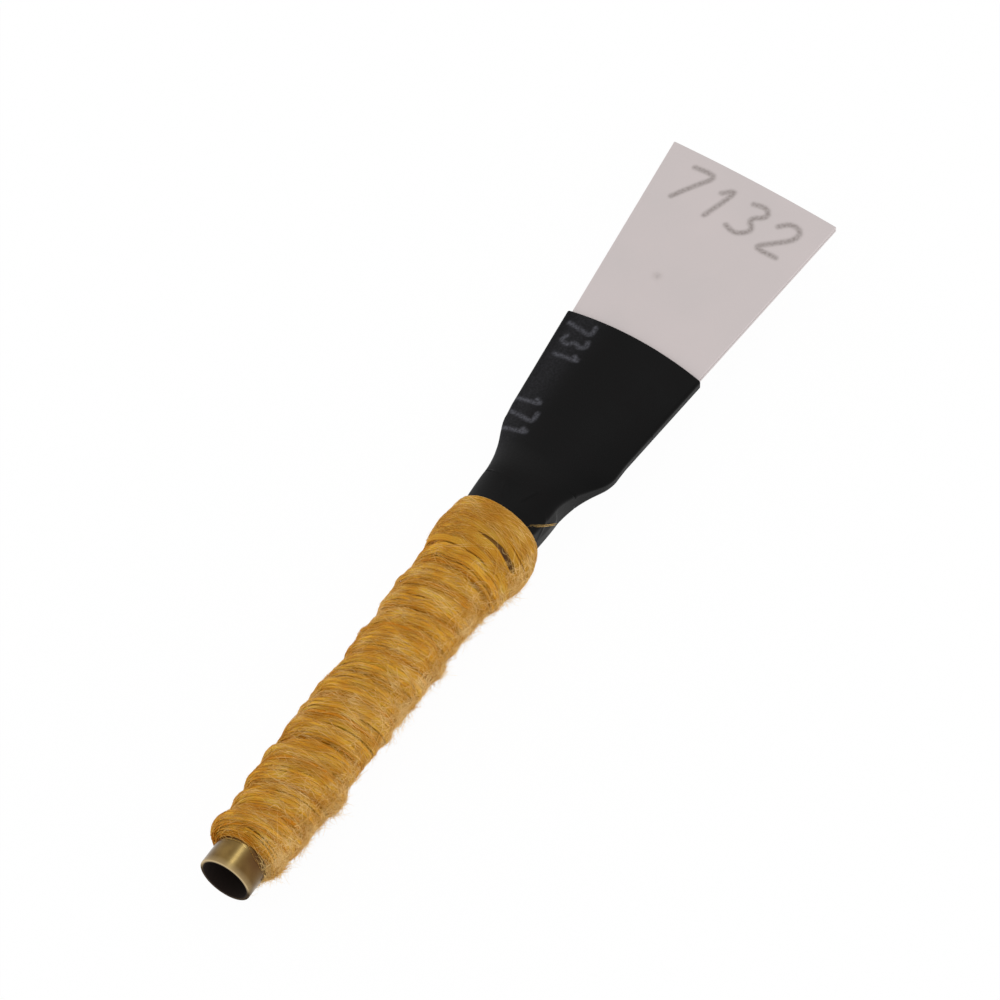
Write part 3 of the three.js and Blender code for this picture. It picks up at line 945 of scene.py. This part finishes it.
# How far the winding leans, and how far it swells on its left and right, by place, in millimetres
HEMP_LEANS = [
    (2.5, 0.3), (4, 0.3), (6.5, 0), (38, 0), (40.5, -0.15), (42, -0.33), (44.5, -0.42), (46, -0.2),
]
LEFT_SWELLS = [
    (6, 0.05), (10, 0.18), (12, 0.06), (18, 0.26), (21, 0.2), (24, -0.06), (27, -0.04), (29.5, -0.28),
    (32.5, 0.22), (35.5, 0.2), (38, 0.04), (39.3, -0.2), (40.3, 0.12), (41.5, 0),
]
RIGHT_SWELLS = [
    (5, 0.06), (8, 0.2), (10, -0.04), (12, 0.12), (15, -0.05), (21, 0.06), (23.5, -0.2), (26.5, 0.1),
    (32.5, -0.12), (38, -0.08), (39.3, -0.1), (40.3, 0.24), (41.5, 0),
]

# The grid that the turns are laid on
SURFACE_CELL = 0.08 * MM
SURFACE_SIDES = 180
SURFACE_MARGIN = 1 * MM

HEMP_SEED = 7


def core_radius_table():
    """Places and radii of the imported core's outer side."""
    points = np.array([v.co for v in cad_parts["hemp_core"].data.vertices])
    place = np.round((points[:, 0] - SEAT_X) / MM, 3) * MM
    radius = np.hypot(points[:, 1], points[:, 2] - AXIS_Z)
    places = np.unique(place)
    return places, np.array([radius[place == x].max() for x in places])


CORE_PLACES, CORE_RADII = core_radius_table()


def bed_radius(x):
    """Radius of the inner layers of hemp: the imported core's, with a rounded shoulder at the bare end."""
    rise = np.sqrt(1 - (1 - np.clip((x - LAPPING_START) / SHOULDER_LENGTH, 0, 1)) ** 2)
    trim = mix(FOOT_TRIM, CORE_TRIM, smooth(x, LAPPING_START, FOOT_END))
    trim = mix(trim, END_TRIM, smooth(x, END_TRIM_START, END_TRIM_FULL))
    return mix(STAPLE_RADIUS + 2 * BED_CLEARANCE, np.interp(x, CORE_PLACES, CORE_RADII) - trim, rise)


def shaped(points):
    """Hemp points moved as the whole winding is: its foot lies aslant and it leans to a side here and
    there. On the bare staple and the sleeve nothing moves."""
    x, y, z = points[..., 0], points[..., 1], points[..., 2]
    radius = np.hypot(y, z)
    least = np.maximum(radius, MM / 10)
    free = smooth(radius, STAPLE_RADIUS, STAPLE_RADIUS + FREE_DEPTH)
    foot = (FOOT_SHIFT + FOOT_SLANT * z / least) * (1 - smooth(x, LAPPING_START, FOOT_END))
    lean = lean_at(HEMP_LEANS, x) * free
    left = (1 + y / least) / 2
    swell = mix(lean_at(RIGHT_SWELLS, x), lean_at(LEFT_SWELLS, x), left) * free / least
    return points + np.stack([foot, y * swell + lean, z * swell], axis=-1)


def rows_across(half_width):
    """The surface's rows under a strand, counted from the one below its middle."""
    reach = int(half_width / SURFACE_CELL)
    return np.arange(-reach, reach + 1)


class WoundSurface:
    """How far out the hemp reaches so far, on a grid of places along the reed and angles round it."""

    def __init__(self, start, end):
        self.start = start - SURFACE_MARGIN
        self.places = np.arange(self.start, end + SURFACE_MARGIN, SURFACE_CELL)
        self.radius = np.repeat(bed_radius(self.places)[:, None], SURFACE_SIDES, axis=1)

    def cell(self, x):
        """The surface's row at each place."""
        return np.clip(np.round((x - self.start) / SURFACE_CELL).astype(int), 0, len(self.places) - 1)

    def under(self, x, column, half_width):
        """The highest hemp under a strand of that half-width."""
        rows = [np.clip(self.cell(x) + k, 0, len(self.places) - 1) for k in rows_across(half_width)]
        return np.max([self.radius[row, column] for row in rows], axis=0)

    def cover(self, x, column, centre, half_width, half_height):
        """Raises the surface where a strand with a domed back lies on it."""
        for k in rows_across(half_width):
            row = np.clip(self.cell(x) + k, 0, len(self.places) - 1)
            dome = half_height * math.sqrt(max(0, 1 - (k * SURFACE_CELL / half_width) ** 2))
            self.radius[row, column] = np.maximum(self.radius[row, column], centre + dome)


def eased_walk(random, count, step, size):
    """A smooth random wander, with about one bend in each step samples."""
    knots = random.normal(0, size, count // step + 4)
    return np.interp(np.arange(count) / step, np.arange(len(knots)), knots)


def blurred(values, spread):
    """Values smoothed along their length, with the ends held."""
    reach = int(3 * spread)
    weights = np.exp(-0.5 * (np.arange(-reach, reach + 1) / spread) ** 2)
    held = np.concatenate([np.full(reach, values[0]), values, np.full(reach, values[-1])])
    return np.convolve(held, weights / weights.sum(), mode="valid")


def soft_walk(random, count, step, size, blur):
    """A random wander without any kinks."""
    return blurred(eased_walk(random, count, step, size), blur)


LAID_AT_ONCE = SURFACE_SIDES // 2  # steps of angle
BESIDE_SHARE = 0.2  # share of its half-width over which a strand feels what is right below it
BESIDE_PLAY = 0.04 * MM  # how much higher that can push it than it would lie otherwise
LAID_BLUR = 3.0


def lay_strands(surface, paths, first_column, half_width, half_height, sink, lifts):
    """Rests strands on what is wound already, half a turn at a time, and gives their middle radii.
    A path has one place along the reed for each step of angle."""
    radii = [np.zeros(len(path)) for path in paths]
    for start in range(0, max(len(path) for path in paths), LAID_AT_ONCE):
        under = []
        for path in paths:
            x = path[start : start + LAID_AT_ONCE]
            column = (first_column + start + np.arange(len(x))) % SURFACE_SIDES
            under.append((x, column, surface.under(x, column, half_width)))
        for (x, column, lowest), radius, lift in zip(under, radii, lifts):
            beside = surface.under(x, column, BESIDE_SHARE * half_width)
            rest = np.clip(beside, lowest + lift, lowest + lift + BESIDE_PLAY)
            centre = rest + half_height - sink
            radius[start : start + LAID_AT_ONCE] = centre
            surface.cover(x, column, centre, half_width, half_height)
    return [blurred(radius, LAID_BLUR) for radius in radii]


def wound_line(x, column, radius):
    """Points and outward directions of a strand from its place, angle step and radius."""
    return at_radius(x, column * FULL_TURN / SURFACE_SIDES, radius)


def bunch_route(low, high):
    """Where the middle of a bunch lies at each step of angle, with a level stretch at both ends."""
    turns = np.cumsum([0, BUNCH_END_TURNS, BUNCH_TURNS, BUNCH_END_TURNS])
    count = int(turns[-1] * SURFACE_SIDES)
    route = np.interp(np.arange(count) / SURFACE_SIDES, turns, [low, low, high, high])
    return blurred(route, SURFACE_SIDES / 12)


BLUNT_END = 0.12
TAPER_POWER = 0.6


def tapered(count, length=14):
    """1 along a strand, easing to a blunt point at its ends."""
    from_end = np.minimum(np.arange(count), np.arange(count)[::-1])
    return np.clip(from_end / length, BLUNT_END, 1) ** TAPER_POWER


def make_under_turns(surface, random):
    """Close turns that pack the staple, seen only where the bunches part."""
    half_width, half_height = UNDER_WIDTH / 2, UNDER_HEIGHT / 2
    start, end = LAPPING_START + half_width, HEMP_JOIN - half_width
    count = int((end - start) / UNDER_STEP * SURFACE_SIDES)
    path = np.linspace(start, end, count) + eased_walk(random, count, SURFACE_SIDES // 3, UNDER_WANDER)
    radius = lay_strands(surface, [path], 0, half_width, half_height, UNDER_SINK, [0])[0]
    keep = np.arange(0, count, 3)
    line, outward = wound_line(path[keep], keep, radius[keep])
    tone = UNDER_TONE + eased_walk(random, len(keep), step=20, size=UNDER_TONE_WANDER)
    return line, outward, half_width, half_height * tapered(len(keep)), tone, UNDER_BURIED


def make_bunch(surface, random, first_turn):
    """A flat bunch of fine strands, wound from the seat end to the collar."""
    half_width, half_height = STRAND_WIDTH / 2, STRAND_HEIGHT / 2
    first_column = int(first_turn * SURFACE_SIDES)
    route = bunch_route(LAPPING_START + BUNCH_HALF_WIDTH, HEMP_JOIN - BUNCH_HALF_WIDTH)
    count = len(route)
    route = route + soft_walk(random, count, SURFACE_SIDES // 2, BUNCH_WANDER, blur=12)
    spread = 1 + soft_walk(random, count, SURFACE_SIDES // 3, BUNCH_SWELL, blur=12)
    paths, lifts = [], []
    for share in STRAND_SHARES:
        own = soft_walk(random, count, SURFACE_SIDES // 4, STRAND_WANDER, blur=8)
        path = route + own + share * (BUNCH_HALF_WIDTH - half_width) * spread
        inset = half_width + random.uniform(0, STRAND_END_SPREAD)
        paths.append(np.clip(path, LAPPING_START + inset, HEMP_JOIN - inset))
        lifts.append(BUNCH_DOME * (1 - share**2) + random.uniform(-STRAND_LIFT, STRAND_LIFT))
    radii = lay_strands(surface, paths, first_column, half_width, half_height, STRAND_SINK, lifts)
    strands = []
    for share, path, radius in zip(STRAND_SHARES, paths, radii):
        keep = np.arange(0, len(path), 2)
        line, outward = wound_line(path[keep], keep + first_column, radius[keep])
        end = tapered(len(keep))
        width = half_width * (1 + eased_walk(random, len(keep), step=25, size=STRAND_WIDTH_WANDER))
        tone = random.uniform(*STRAND_TONES)
        tone = tone + eased_walk(random, len(keep), step=30, size=STRAND_TONE_WANDER)
        buried = EDGE_BURIED * abs(share) ** 3
        strands.append((line, outward, width * end, half_height * end, tone, buried))
    return strands


# Collar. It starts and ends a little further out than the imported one.
LOW_REACH = 0.5 * MM
HIGH_REACH = 0.25 * MM
COLLAR_LOW = COLLAR_START - LOW_REACH
COLLAR_HIGH = COLLAR_TOP + HIGH_REACH

# Its radius in millimetres at shares of its length
COLLAR_PROFILE = [
    (-0.13, 4.35), (0, 4.6), (0.075, 4.82), (0.25, 5.0), (0.44, 5.08), (0.63, 4.96), (0.81, 4.76),
    (0.935, 4.58), (1, 4.34),
]

# The yarn's turns, and the strands that a turn is made of
YARN_EDGE_SHARES = [0, 0.275, 0.46, 0.645, 0.83, 1]
YARN_STEP_SHARE = 0.88  # share of a turn after which the yarn steps over to the next one
YARN_DOME = 0.07 * MM
YARN_SLANT = 0.5 * MM
YARN_SLANT_SHARES = [1.0, 1.0, 0.5, 0.2, 0.0]
STRANDS_IN_YARN = 8
COLLAR_STRAND_HEIGHT = 0.3 * MM
COLLAR_STRAND_FILL = 0.68  # half-width as a share of the strand's part of the yarn: they overlap
COLLAR_WANDER = 0.02 * MM
COLLAR_TONES = (0.4, 0.6)
COLLAR_TONE_WANDER = 0.1
UNDERSIDE_DEGREES = -90
UNDERSIDE_COLUMN = int(UNDERSIDE_DEGREES / 360 * SURFACE_SIDES)

# Single turns that round off the collar's two ends. Their places count in a strand's height.
EDGE_STRANDS = 3
EDGE_OVERLAP = 6  # steps of angle
EDGE_STEPS = np.arange(SURFACE_SIDES + EDGE_OVERLAP)
TOP_EDGE_FIRST = 0.8
TOP_EDGE_STEP = 0.85
TOP_EDGE_SLOPE = 1 / 8  # how far along the reed they step, for each step down
TOP_EDGE_TONE = 0.45
# painted shade on the turns at the collar's top edge
TOP_EDGE_BURIED = 0.25
LOW_EDGE_FIRST = 0.4
LOW_EDGE_STEP = 0.7
LOW_EDGE_HALF_WIDTH = 0.6
LOW_EDGE_TONE = 0.5
LOW_EDGE_DARKENING = 0.1  # how much darker each further turn is

# The bed under the turns
GROOVE_LENGTH = 0.6 * MM  # below the collar, over which its bed comes down to the lapping
GROOVE_DEPTH = 0.12 * MM

# The gap where the first and the second turn part, darkened by painted shade at its bottom
SLOT_WIDTH = 0.7 * MM
SLOT_DEPTH = 0.3 * MM
SLOT_SHADE_REACH = 0.5 * MM

# Degrees round the collar over which the lower turns begin to sag, and over which the sag ends
SAG_RISE = (112, 160)
SAG_FALL = (185, 245)

# Degrees round the collar over which the slot opens, widens and closes
SLOT_RISE = (86, 102)
SLOT_WIDENING = (100, 140)
SLOT_FALL = (153, 163)
SLOT_NARROW = 0.5  # share of its width that it has before it widens


def collar_radius(x):
    shares, radii = np.array(COLLAR_PROFILE).T
    share = (x - COLLAR_LOW) / (COLLAR_HIGH - COLLAR_LOW)
    return np.interp(share, shares, radii) * MM


def sag_share(degrees):
    """How far the lower turns sag towards the seat end at an angle: they do on the right only."""
    return smooth(degrees, *SAG_RISE) * (1 - smooth(degrees, *SAG_FALL))


def slot_share(degrees):
    """How far the slot is open at an angle."""
    width = mix(SLOT_NARROW, 1, smooth(degrees, *SLOT_WIDENING))
    return width * smooth(degrees, *SLOT_RISE) * (1 - smooth(degrees, *SLOT_FALL))


def yarn_places(turns):
    """The middle and the width of the collar's yarn after some turns from the underside. It steps over
    to its next turn on the underside."""
    edges = mix(COLLAR_LOW, COLLAR_HIGH, np.array(YARN_EDGE_SHARES))
    yarns = len(edges) - 1
    turn, share = np.divmod(turns, 1.0)
    turn = np.minimum(turn, yarns - 1).astype(int)
    degrees = share * 360 + UNDERSIDE_DEGREES
    stepping = smooth(share, YARN_STEP_SHARE, 1.0)
    after = np.minimum(turn + 1, yarns - 1)
    low = mix(edges[turn], edges[after], stepping)
    high = mix(edges[turn + 1], edges[after + 1], stepping)
    part = SLOT_WIDTH / 2 * slot_share(degrees)
    high = high - part * (turn == 0)
    low = low + part * (turn == 1)
    sag = YARN_SLANT * sag_share(degrees) * np.array(YARN_SLANT_SHARES)[turn]
    return (low + high) / 2 - sag, high - low


def in_slot(x, degrees):
    """How much a place lies in the slot, from 0 to 1."""
    middle = mix(COLLAR_LOW, COLLAR_HIGH, YARN_EDGE_SHARES[1]) - YARN_SLANT * sag_share(degrees)
    return slot_share(degrees) * np.exp(-(((x - middle) / SLOT_SHADE_REACH) ** 4))


def edge_strand(x, radius, half_width, tone, buried=0.0):
    """One turn of thread at an end of the collar, with its ends on the underside."""
    line, outward = wound_line(x, EDGE_STEPS + UNDERSIDE_COLUMN, radius)
    return line, outward, half_width, COLLAR_STRAND_HEIGHT / 2, tone, buried


def collar_edges():
    """The single turns that round off the collar: stepping down at the sleeve, side by side below."""
    height = COLLAR_STRAND_HEIGHT
    sag = YARN_SLANT * sag_share(EDGE_STEPS / SURFACE_SIDES * 360 + UNDERSIDE_DEGREES)
    low_half_width = LOW_EDGE_HALF_WIDTH * height
    strands = []
    for number in range(EDGE_STRANDS):
        drop = (number + TOP_EDGE_FIRST) * TOP_EDGE_STEP * height
        x = np.full(len(EDGE_STEPS), COLLAR_HIGH - height / 2 - drop * TOP_EDGE_SLOPE)
        radius = collar_radius(x) - drop
        strands.append(edge_strand(x, radius, height / 2, TOP_EDGE_TONE, TOP_EDGE_BURIED))
    for number in range(EDGE_STRANDS):
        x = COLLAR_LOW - (number + LOW_EDGE_FIRST) * LOW_EDGE_STEP * height - sag
        radius = collar_radius(x) - height / 2
        strands.append(edge_strand(x, radius, low_half_width, LOW_EDGE_TONE - LOW_EDGE_DARKENING * number))
    return strands


def make_collar(random):
    """Smooth tight turns over the sleeve's lower end."""
    count = (len(YARN_EDGE_SHARES) - 1) * SURFACE_SIDES
    step = np.arange(count)
    middle, width = yarn_places(step / SURFACE_SIDES)
    end = tapered(count)[::2]
    strands = []
    for number in range(STRANDS_IN_YARN):
        aside = (number - (STRANDS_IN_YARN - 1) / 2) / STRANDS_IN_YARN
        x = middle + aside * width + soft_walk(random, count, step=30, size=COLLAR_WANDER, blur=6)
        drop = YARN_DOME * (2 * aside) ** 2 + COLLAR_STRAND_HEIGHT / 2
        radius = collar_radius(x) - drop + eased_walk(random, count, step=24, size=COLLAR_WANDER / 2)
        line, outward = wound_line(x, step + UNDERSIDE_COLUMN, radius)
        tone = random.uniform(*COLLAR_TONES)
        tone = tone + eased_walk(random, count, step=40, size=COLLAR_TONE_WANDER)
        half_width = COLLAR_STRAND_FILL * width[::2] / STRANDS_IN_YARN * end
        half_height = COLLAR_STRAND_HEIGHT / 2 * end
        strands.append((line[::2], outward[::2], half_width, half_height, tone[::2], 0.0))
    piece = strand_mesh("collar_turns", strands + collar_edges(), TIGHT_HEMP, sides=8, hemp=True)
    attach(piece, "root")
    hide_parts("hemp_collar")


def make_collar_bed(rows=60, sides=160):
    """What lies under the collar's turns and closes its slot."""
    places = np.linspace(COLLAR_LOW - GROOVE_LENGTH, COLLAR_HIGH - COLLAR_STRAND_HEIGHT, rows)
    slot = in_slot(places[:, None], np.degrees(ring_angles(sides))[None, :])
    full_depth = COLLAR_STRAND_HEIGHT + YARN_DOME
    depth = mix(GROOVE_DEPTH, full_depth, smooth(places, COLLAR_LOW, COLLAR_LOW + STRAND_WIDTH))
    radius = (collar_radius(places) - depth)[:, None] - SLOT_DEPTH * slot
    outer = shaped(oval_rings(places, radius, radius, sides))
    inner = [taut_ring(x, sleeve_standoff(x) + sleeve_wall(x) + SLEEVE_GAP, sides) for x in places]
    # painted shade at the bottom of the slot, on the outer side only
    deep = np.concatenate([slot, np.zeros(slot.shape)])
    piece = wall_mesh("collar_bed", outer, leaning(np.array(inner)), HEMP_BED, press=True, deep=deep)
    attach(piece, "root")


def make_bed(rows=120, sides=96):
    """The inner layers of hemp round the staple, seen only between the bunches."""
    places = np.linspace(LAPPING_START, HEMP_JOIN, rows)
    outer, inner = (
        shaped(oval_rings(places, radii[:, None], radii[:, None], sides))
        for radii in (bed_radius(places), np.full(rows, STAPLE_RADIUS + BED_CLEARANCE))
    )
    piece = wall_mesh("hemp_bed", outer, inner, HEMP_BED, deep=np.zeros(2 * rows * sides))
    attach(piece, "root")
    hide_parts("hemp_core")


# Loose fibres. The right flank is more frayed than the rest, most of all at its tufts.
FLANK_DEGREES = 190
FLANK_SPREAD = 26
# the lightest tone, for fibres on the right flank: painted light, so that side reads lighter
FLANK_TONE = 1.0
TUFT_PLACES = [2.5, 3.4, 8, 12, 24, 30, 36, 40.5]
TUFT_HALF_LENGTH = 0.9 * MM
FIBRE_HALF_WIDTH = 0.012 * MM
FOOT_FRINGE = 0.8 * MM  # how far loose ends reach over the bare staple
FLUFF_REACH = 1.4 * MM  # how much further they reach on the frayed side
FLUFF_DEGREES = 206
FLUFF_SPREAD = 18
FIBRE_TOP_GAP = 0.1 * MM  # from a fibre to the collar's top
FIBRE_RISE_POWER = 1.4
FIBRE_THINNING = 0.7  # share of its thickness that a fibre loses towards its end
FIBRE_TONE = 0.55
FIBRE_TONE_SPREAD = 0.35
SLOT_KEPT_OPEN = 0.1  # fibres keep away from where the slot is more open than this
WINDING_RADIUS = 4.5 * MM  # about how far out a fibre winds, on the lapping and on the collar
COLLAR_WINDING_RADIUS = 5 * MM
NECK_FIBRE = [(46.6, 142), (47.9, 160), (49.2, 178), (49.9, 190)]  # place in millimetres, angle in degrees
NECK_FIBRE_STARTS = [0, 0.2 * MM]
NECK_FIBRE_HALF_WIDTH = 0.022 * MM


def stray(surface, random, x, degrees, length, heading, curl, lift, thickness, steps, tone=FIBRE_TONE):
    """A fibre that leaves the winding at a place and angle, heading round it at 0 or along it at a
    quarter turn, and rises to its lift at the end. The thickness is counted in plain fibres."""
    share = np.linspace(0, 1, steps)
    directions = (heading + curl * share)[:-1]
    stride = length / (steps - 1)
    ahead = x + np.concatenate([[0], np.cumsum(np.sin(directions) * stride)])
    around = np.concatenate([[0], np.cumsum(np.cos(directions) * stride)])
    angle = math.radians(degrees) + around / WINDING_RADIUS
    fluff = FLUFF_REACH * bell(degrees, FLUFF_DEGREES, FLUFF_SPREAD)
    fringe = (FOOT_FRINGE + fluff) * random.uniform(0, 1) ** 2
    ahead = np.clip(ahead, LAPPING_START - fringe, COLLAR_HIGH - FIBRE_TOP_GAP)
    column = np.round(angle * SURFACE_SIDES / FULL_TURN).astype(int) % SURFACE_SIDES
    on_collar = smooth(ahead, COLLAR_LOW - GROOVE_LENGTH, COLLAR_LOW)
    under = mix(surface.radius[surface.cell(ahead), column], collar_radius(ahead), on_collar)
    half_width = thickness * FIBRE_HALF_WIDTH
    radius = blurred(under, spread=1.5) + half_width + lift * share**FIBRE_RISE_POWER
    line, outward = at_radius(ahead, angle, radius)
    thin = half_width * (1 - FIBRE_THINNING * share)
    return line, outward, thin, thin, tone + random.uniform(-FIBRE_TONE_SPREAD, FIBRE_TONE_SPREAD), 0.0


def lying_fibre(surface, random, x):
    """A fibre that lies along the turns, or None where it would close the slot."""
    degrees = random.uniform(0, 360)
    length = random.uniform(1.2, 5) * MM
    heading = random.normal(HEMP_SLANT if x < HEMP_JOIN else 0.0, 0.26)
    curl = random.normal(0, 0.25)
    lift = random.uniform(0, 0.05) * MM
    thickness = random.uniform(1.2, 3)
    passed = degrees + np.degrees(np.array([0, 0.5, 1]) * length / COLLAR_WINDING_RADIUS)
    if in_slot(x, passed).max() >= SLOT_KEPT_OPEN:
        return None
    return stray(surface, random, x, degrees, length, heading, curl, lift, thickness, steps=10)


def loose_end(surface, random):
    """A short end that heads round the winding, either way."""
    return stray(
        surface, random,
        x=random.uniform(LAPPING_START, COLLAR_HIGH),
        degrees=random.uniform(0, 360),
        length=random.gamma(4, 0.25) * MM,
        heading=random.normal(0, 0.5) + math.pi * random.integers(0, 2),
        curl=random.normal(0, 0.8),
        lift=random.uniform(0.02, 0.2) * MM,
        thickness=random.uniform(0.8, 1.6),
        steps=6)


def flank_fibre(surface, random, tufted):
    """A curling fibre on the frayed flank, longer off the winding where it stands in a tuft."""
    x = random.uniform(LAPPING_START, HEMP_JOIN + 2 * MM)
    lift = random.gamma(2, 0.09) * MM
    if tufted:
        x = random.normal(random.choice(TUFT_PLACES) * MM, TUFT_HALF_LENGTH)
        lift = random.gamma(2.4, 0.17) * MM
    return stray(
        surface, random, x,
        degrees=random.normal(FLANK_DEGREES, FLANK_SPREAD),
        length=random.gamma(4, 0.33) * MM,
        heading=random.uniform(0, FULL_TURN),
        curl=random.normal(0, 1.5),
        lift=lift,
        thickness=random.uniform(0.8, 2),
        steps=7,
        tone=FLANK_TONE)


def frayed_end(surface, random):
    """A thick end that hangs along the frayed flank."""
    return stray(
        surface, random,
        x=random.uniform(LAPPING_START + 1 * MM, LAPPING_END - 3 * MM),
        degrees=random.normal(FLANK_DEGREES, FLANK_SPREAD),
        length=random.uniform(2, 5) * MM,
        heading=math.pi / 2 + random.normal(0, 0.6),
        curl=random.normal(0, 1.4),
        lift=random.uniform(0.05, 0.3) * MM,
        thickness=random.uniform(2.5, 5),
        steps=16,
        tone=FLANK_TONE)


def neck_fibres(steps=16, sides=720):
    """Fibres that came loose from the collar and lie over the sleeve's neck."""
    knots = np.arange(len(NECK_FIBRE))
    share = np.linspace(0, knots[-1], steps)
    places, degrees = (np.interp(share, knots, column) for column in np.array(NECK_FIBRE).T)
    outward = at_radius(places, np.radians(degrees), np.ones(steps))[1]
    half = NECK_FIBRE_HALF_WIDTH * tapered(steps, length=6)
    strands = []
    for start in NECK_FIBRE_STARTS:
        line = []
        for x, away in zip(places * MM + start, outward):
            ring = taut_ring(x, sleeve_standoff(x) + sleeve_wall(x) + NECK_FIBRE_HALF_WIDTH, sides)
            line.append(ring[np.argmax(unit(ring * np.array([0, 1, 1])) @ away)])
        strands.append((np.array(line), outward, half, half, FLANK_TONE, 0.0))
    return strands


def make_fibres(surface, random, lying=6000, loose=1000, flank=2800, tufts=3000, frayed=30):
    """Fine fibres that lie along the turns, short loose ends, and the frayed right flank."""
    names = ["lying_fibres_low", "lying_fibres_high", "loose_ends", "flank_fibres", "tuft_fibres"]
    low, high, ends, frayed_flank, tufted = groups = [[] for _ in names]
    for _ in range(lying):
        x = random.uniform(LAPPING_START, COLLAR_HIGH)
        fibre = lying_fibre(surface, random, x)
        if fibre:
            (low if x < (LAPPING_START + COLLAR_HIGH) / 2 else high).append(fibre)
    ends += [loose_end(surface, random) for _ in range(loose)]
    frayed_flank += [flank_fibre(surface, random, tufted=False) for _ in range(flank)]
    tufted += [flank_fibre(surface, random, tufted=True) for _ in range(tufts)]
    ends += [frayed_end(surface, random) for _ in range(frayed)]
    ends += neck_fibres()
    for name, strands in zip(names, groups):
        piece = strand_mesh(name, strands, LOOSE_HEMP, sides=3, hemp=True)
        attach(piece, "root")


def make_hemp():
    random = np.random.default_rng(HEMP_SEED)
    surface = WoundSurface(LAPPING_START, HEMP_JOIN)
    under = [make_under_turns(surface, random)]
    first, second = (make_bunch(surface, random, first_turn) for first_turn in BUNCH_FIRST_TURNS)
    first = strand_mesh("lapping_bunch_1", first, HEMP, sides=6, hemp=True)
    second = strand_mesh("lapping_bunch_2", second, HEMP, sides=6, hemp=True)
    turns = strand_mesh("lapping_under_turns", under, HEMP, sides=6, hemp=True)
    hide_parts("hemp_lapping")
    for piece in (first, second, turns):
        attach(piece, "root")
    make_bed()
    make_collar(random)
    make_collar_bed()
    make_fibres(surface, random)


# Stage, light and camera

FLOOR_HALF_SIZE = 1.5
FLOOR_DROP = 0.01 * MM
FLOOR_WHITE = (0.95, 0.95, 0.95, 1)
PURE_WHITE = (1, 1, 1, 1)
BACKGROUND_SHARE = 0.97  # of the floor's seen colour that is plain white, the rest shows the shadow
WORLD_LEVEL = 0.9
LAMP_DISTANCE = 0.5
# A lamp's direction, size, power and whether it shows in a gloss
LAMPS = {
    "key": ((0.45, 0.05, 0.89), 0.14, 0.1, True),
    "left_fill": ((0.05, 1, 0.12), 0.3, 0.8, False),
    "right_fill": ((0.05, -1, 0.08), 0.3, 0.95, False),
}

CAMERA_TARGET = Vector((2.57, 1.40, 4.83)) * MM
CAMERA_AZIMUTH = math.radians(-56.98)
CAMERA_ELEVATION = math.radians(57.48)
CAMERA_DISTANCE = 0.9
CAMERA_LENS = 340.74  # millimetres
CAMERA_SENSOR = 36


def seen_directly(tree):
    """1 for what the camera sees itself, in a gloss or through something clear, else 0."""
    path = add_node(tree, "LightPath").outputs
    seen = math_node(tree, "MAXIMUM", path["Is Camera Ray"], path["Is Glossy Ray"])
    return math_node(tree, "MAXIMUM", seen, path["Is Transmission Ray"])


def make_floor():
    size = FLOOR_HALF_SIZE
    points = np.array([[-size, -size, 0], [size, -size, 0], [size, size, 0], [-size, size, 0]])
    material, tree, shader = new_material("White paper")
    shader.inputs["Base Color"].default_value = FLOOR_WHITE
    shader.inputs["Roughness"].default_value = 0.9
    shader.inputs["Specular IOR Level"].default_value = 0.0
    glow = add_node(tree, "Emission", {"Color": PURE_WHITE, "Strength": 1.0})
    share = math_node(tree, "MULTIPLY", seen_directly(tree), BACKGROUND_SHARE)
    shown = add_node(tree, "MixShader", {0: share, 1: shader.outputs[0], 2: glow.outputs[0]})
    tree.links.new(shown.outputs[0], tree.nodes["Material Output"].inputs["Surface"])
    floor = make_mesh("floor", points, [np.array([[0, 1, 2, 3]])], material)
    floor.location.z = -FLOOR_DROP


def make_world():
    world = bpy.data.worlds.new("Soft studio")
    world.use_nodes = True
    tree = world.node_tree
    background = tree.nodes["Background"]
    background.inputs["Color"].default_value = PURE_WHITE
    tree.links.new(between(tree, WORLD_LEVEL, 1.0, seen_directly(tree)), background.inputs["Strength"])
    bpy.context.scene.world = world


def make_lamp(name, direction, size, power, mirrored):
    direction = Vector(direction).normalized()
    lamp = bpy.data.lights.new(name, "AREA")
    lamp.shape = "DISK"
    lamp.size = size
    lamp.energy = power
    holder = bpy.data.objects.new(name, lamp)
    holder.location = direction * LAMP_DISTANCE
    holder.rotation_mode = "QUATERNION"
    holder.rotation_quaternion = direction.to_track_quat("Z", "Y")
    holder.visible_glossy = mirrored
    bpy.context.scene.collection.objects.link(holder)


def make_camera():
    camera = bpy.data.objects.new("camera", bpy.data.cameras.new("camera"))
    camera.data.lens = CAMERA_LENS
    camera.data.sensor_width = CAMERA_SENSOR
    camera.data.clip_start = CAMERA_DISTANCE / 10
    camera.data.clip_end = CAMERA_DISTANCE * 10
    turned = Vector((math.sin(CAMERA_AZIMUTH), -math.cos(CAMERA_AZIMUTH), 0))
    back = turned * math.cos(CAMERA_ELEVATION) + Vector((0, 0, math.sin(CAMERA_ELEVATION)))
    camera.location = CAMERA_TARGET + back * CAMERA_DISTANCE
    camera.rotation_mode = "QUATERNION"
    camera.rotation_quaternion = back.to_track_quat("Z", "Y")
    bpy.context.scene.collection.objects.link(camera)
    bpy.context.scene.camera = camera


bpy.context.scene.view_settings.view_transform = "Standard"
make_camera()
make_floor()
make_world()
for lamp_name, settings in LAMPS.items():
    make_lamp(lamp_name, *settings)
make_staple()
make_blade("blade_upper_sheet", "blade_upper", columns=130, hidden_rows=70, bare_rows=150,
           upper=True)
make_blade("blade_lower_sheet", "blade_lower", columns=60, hidden_rows=50, bare_rows=50,
           upper=False)
make_lashing()
make_sleeve()
make_hemp()
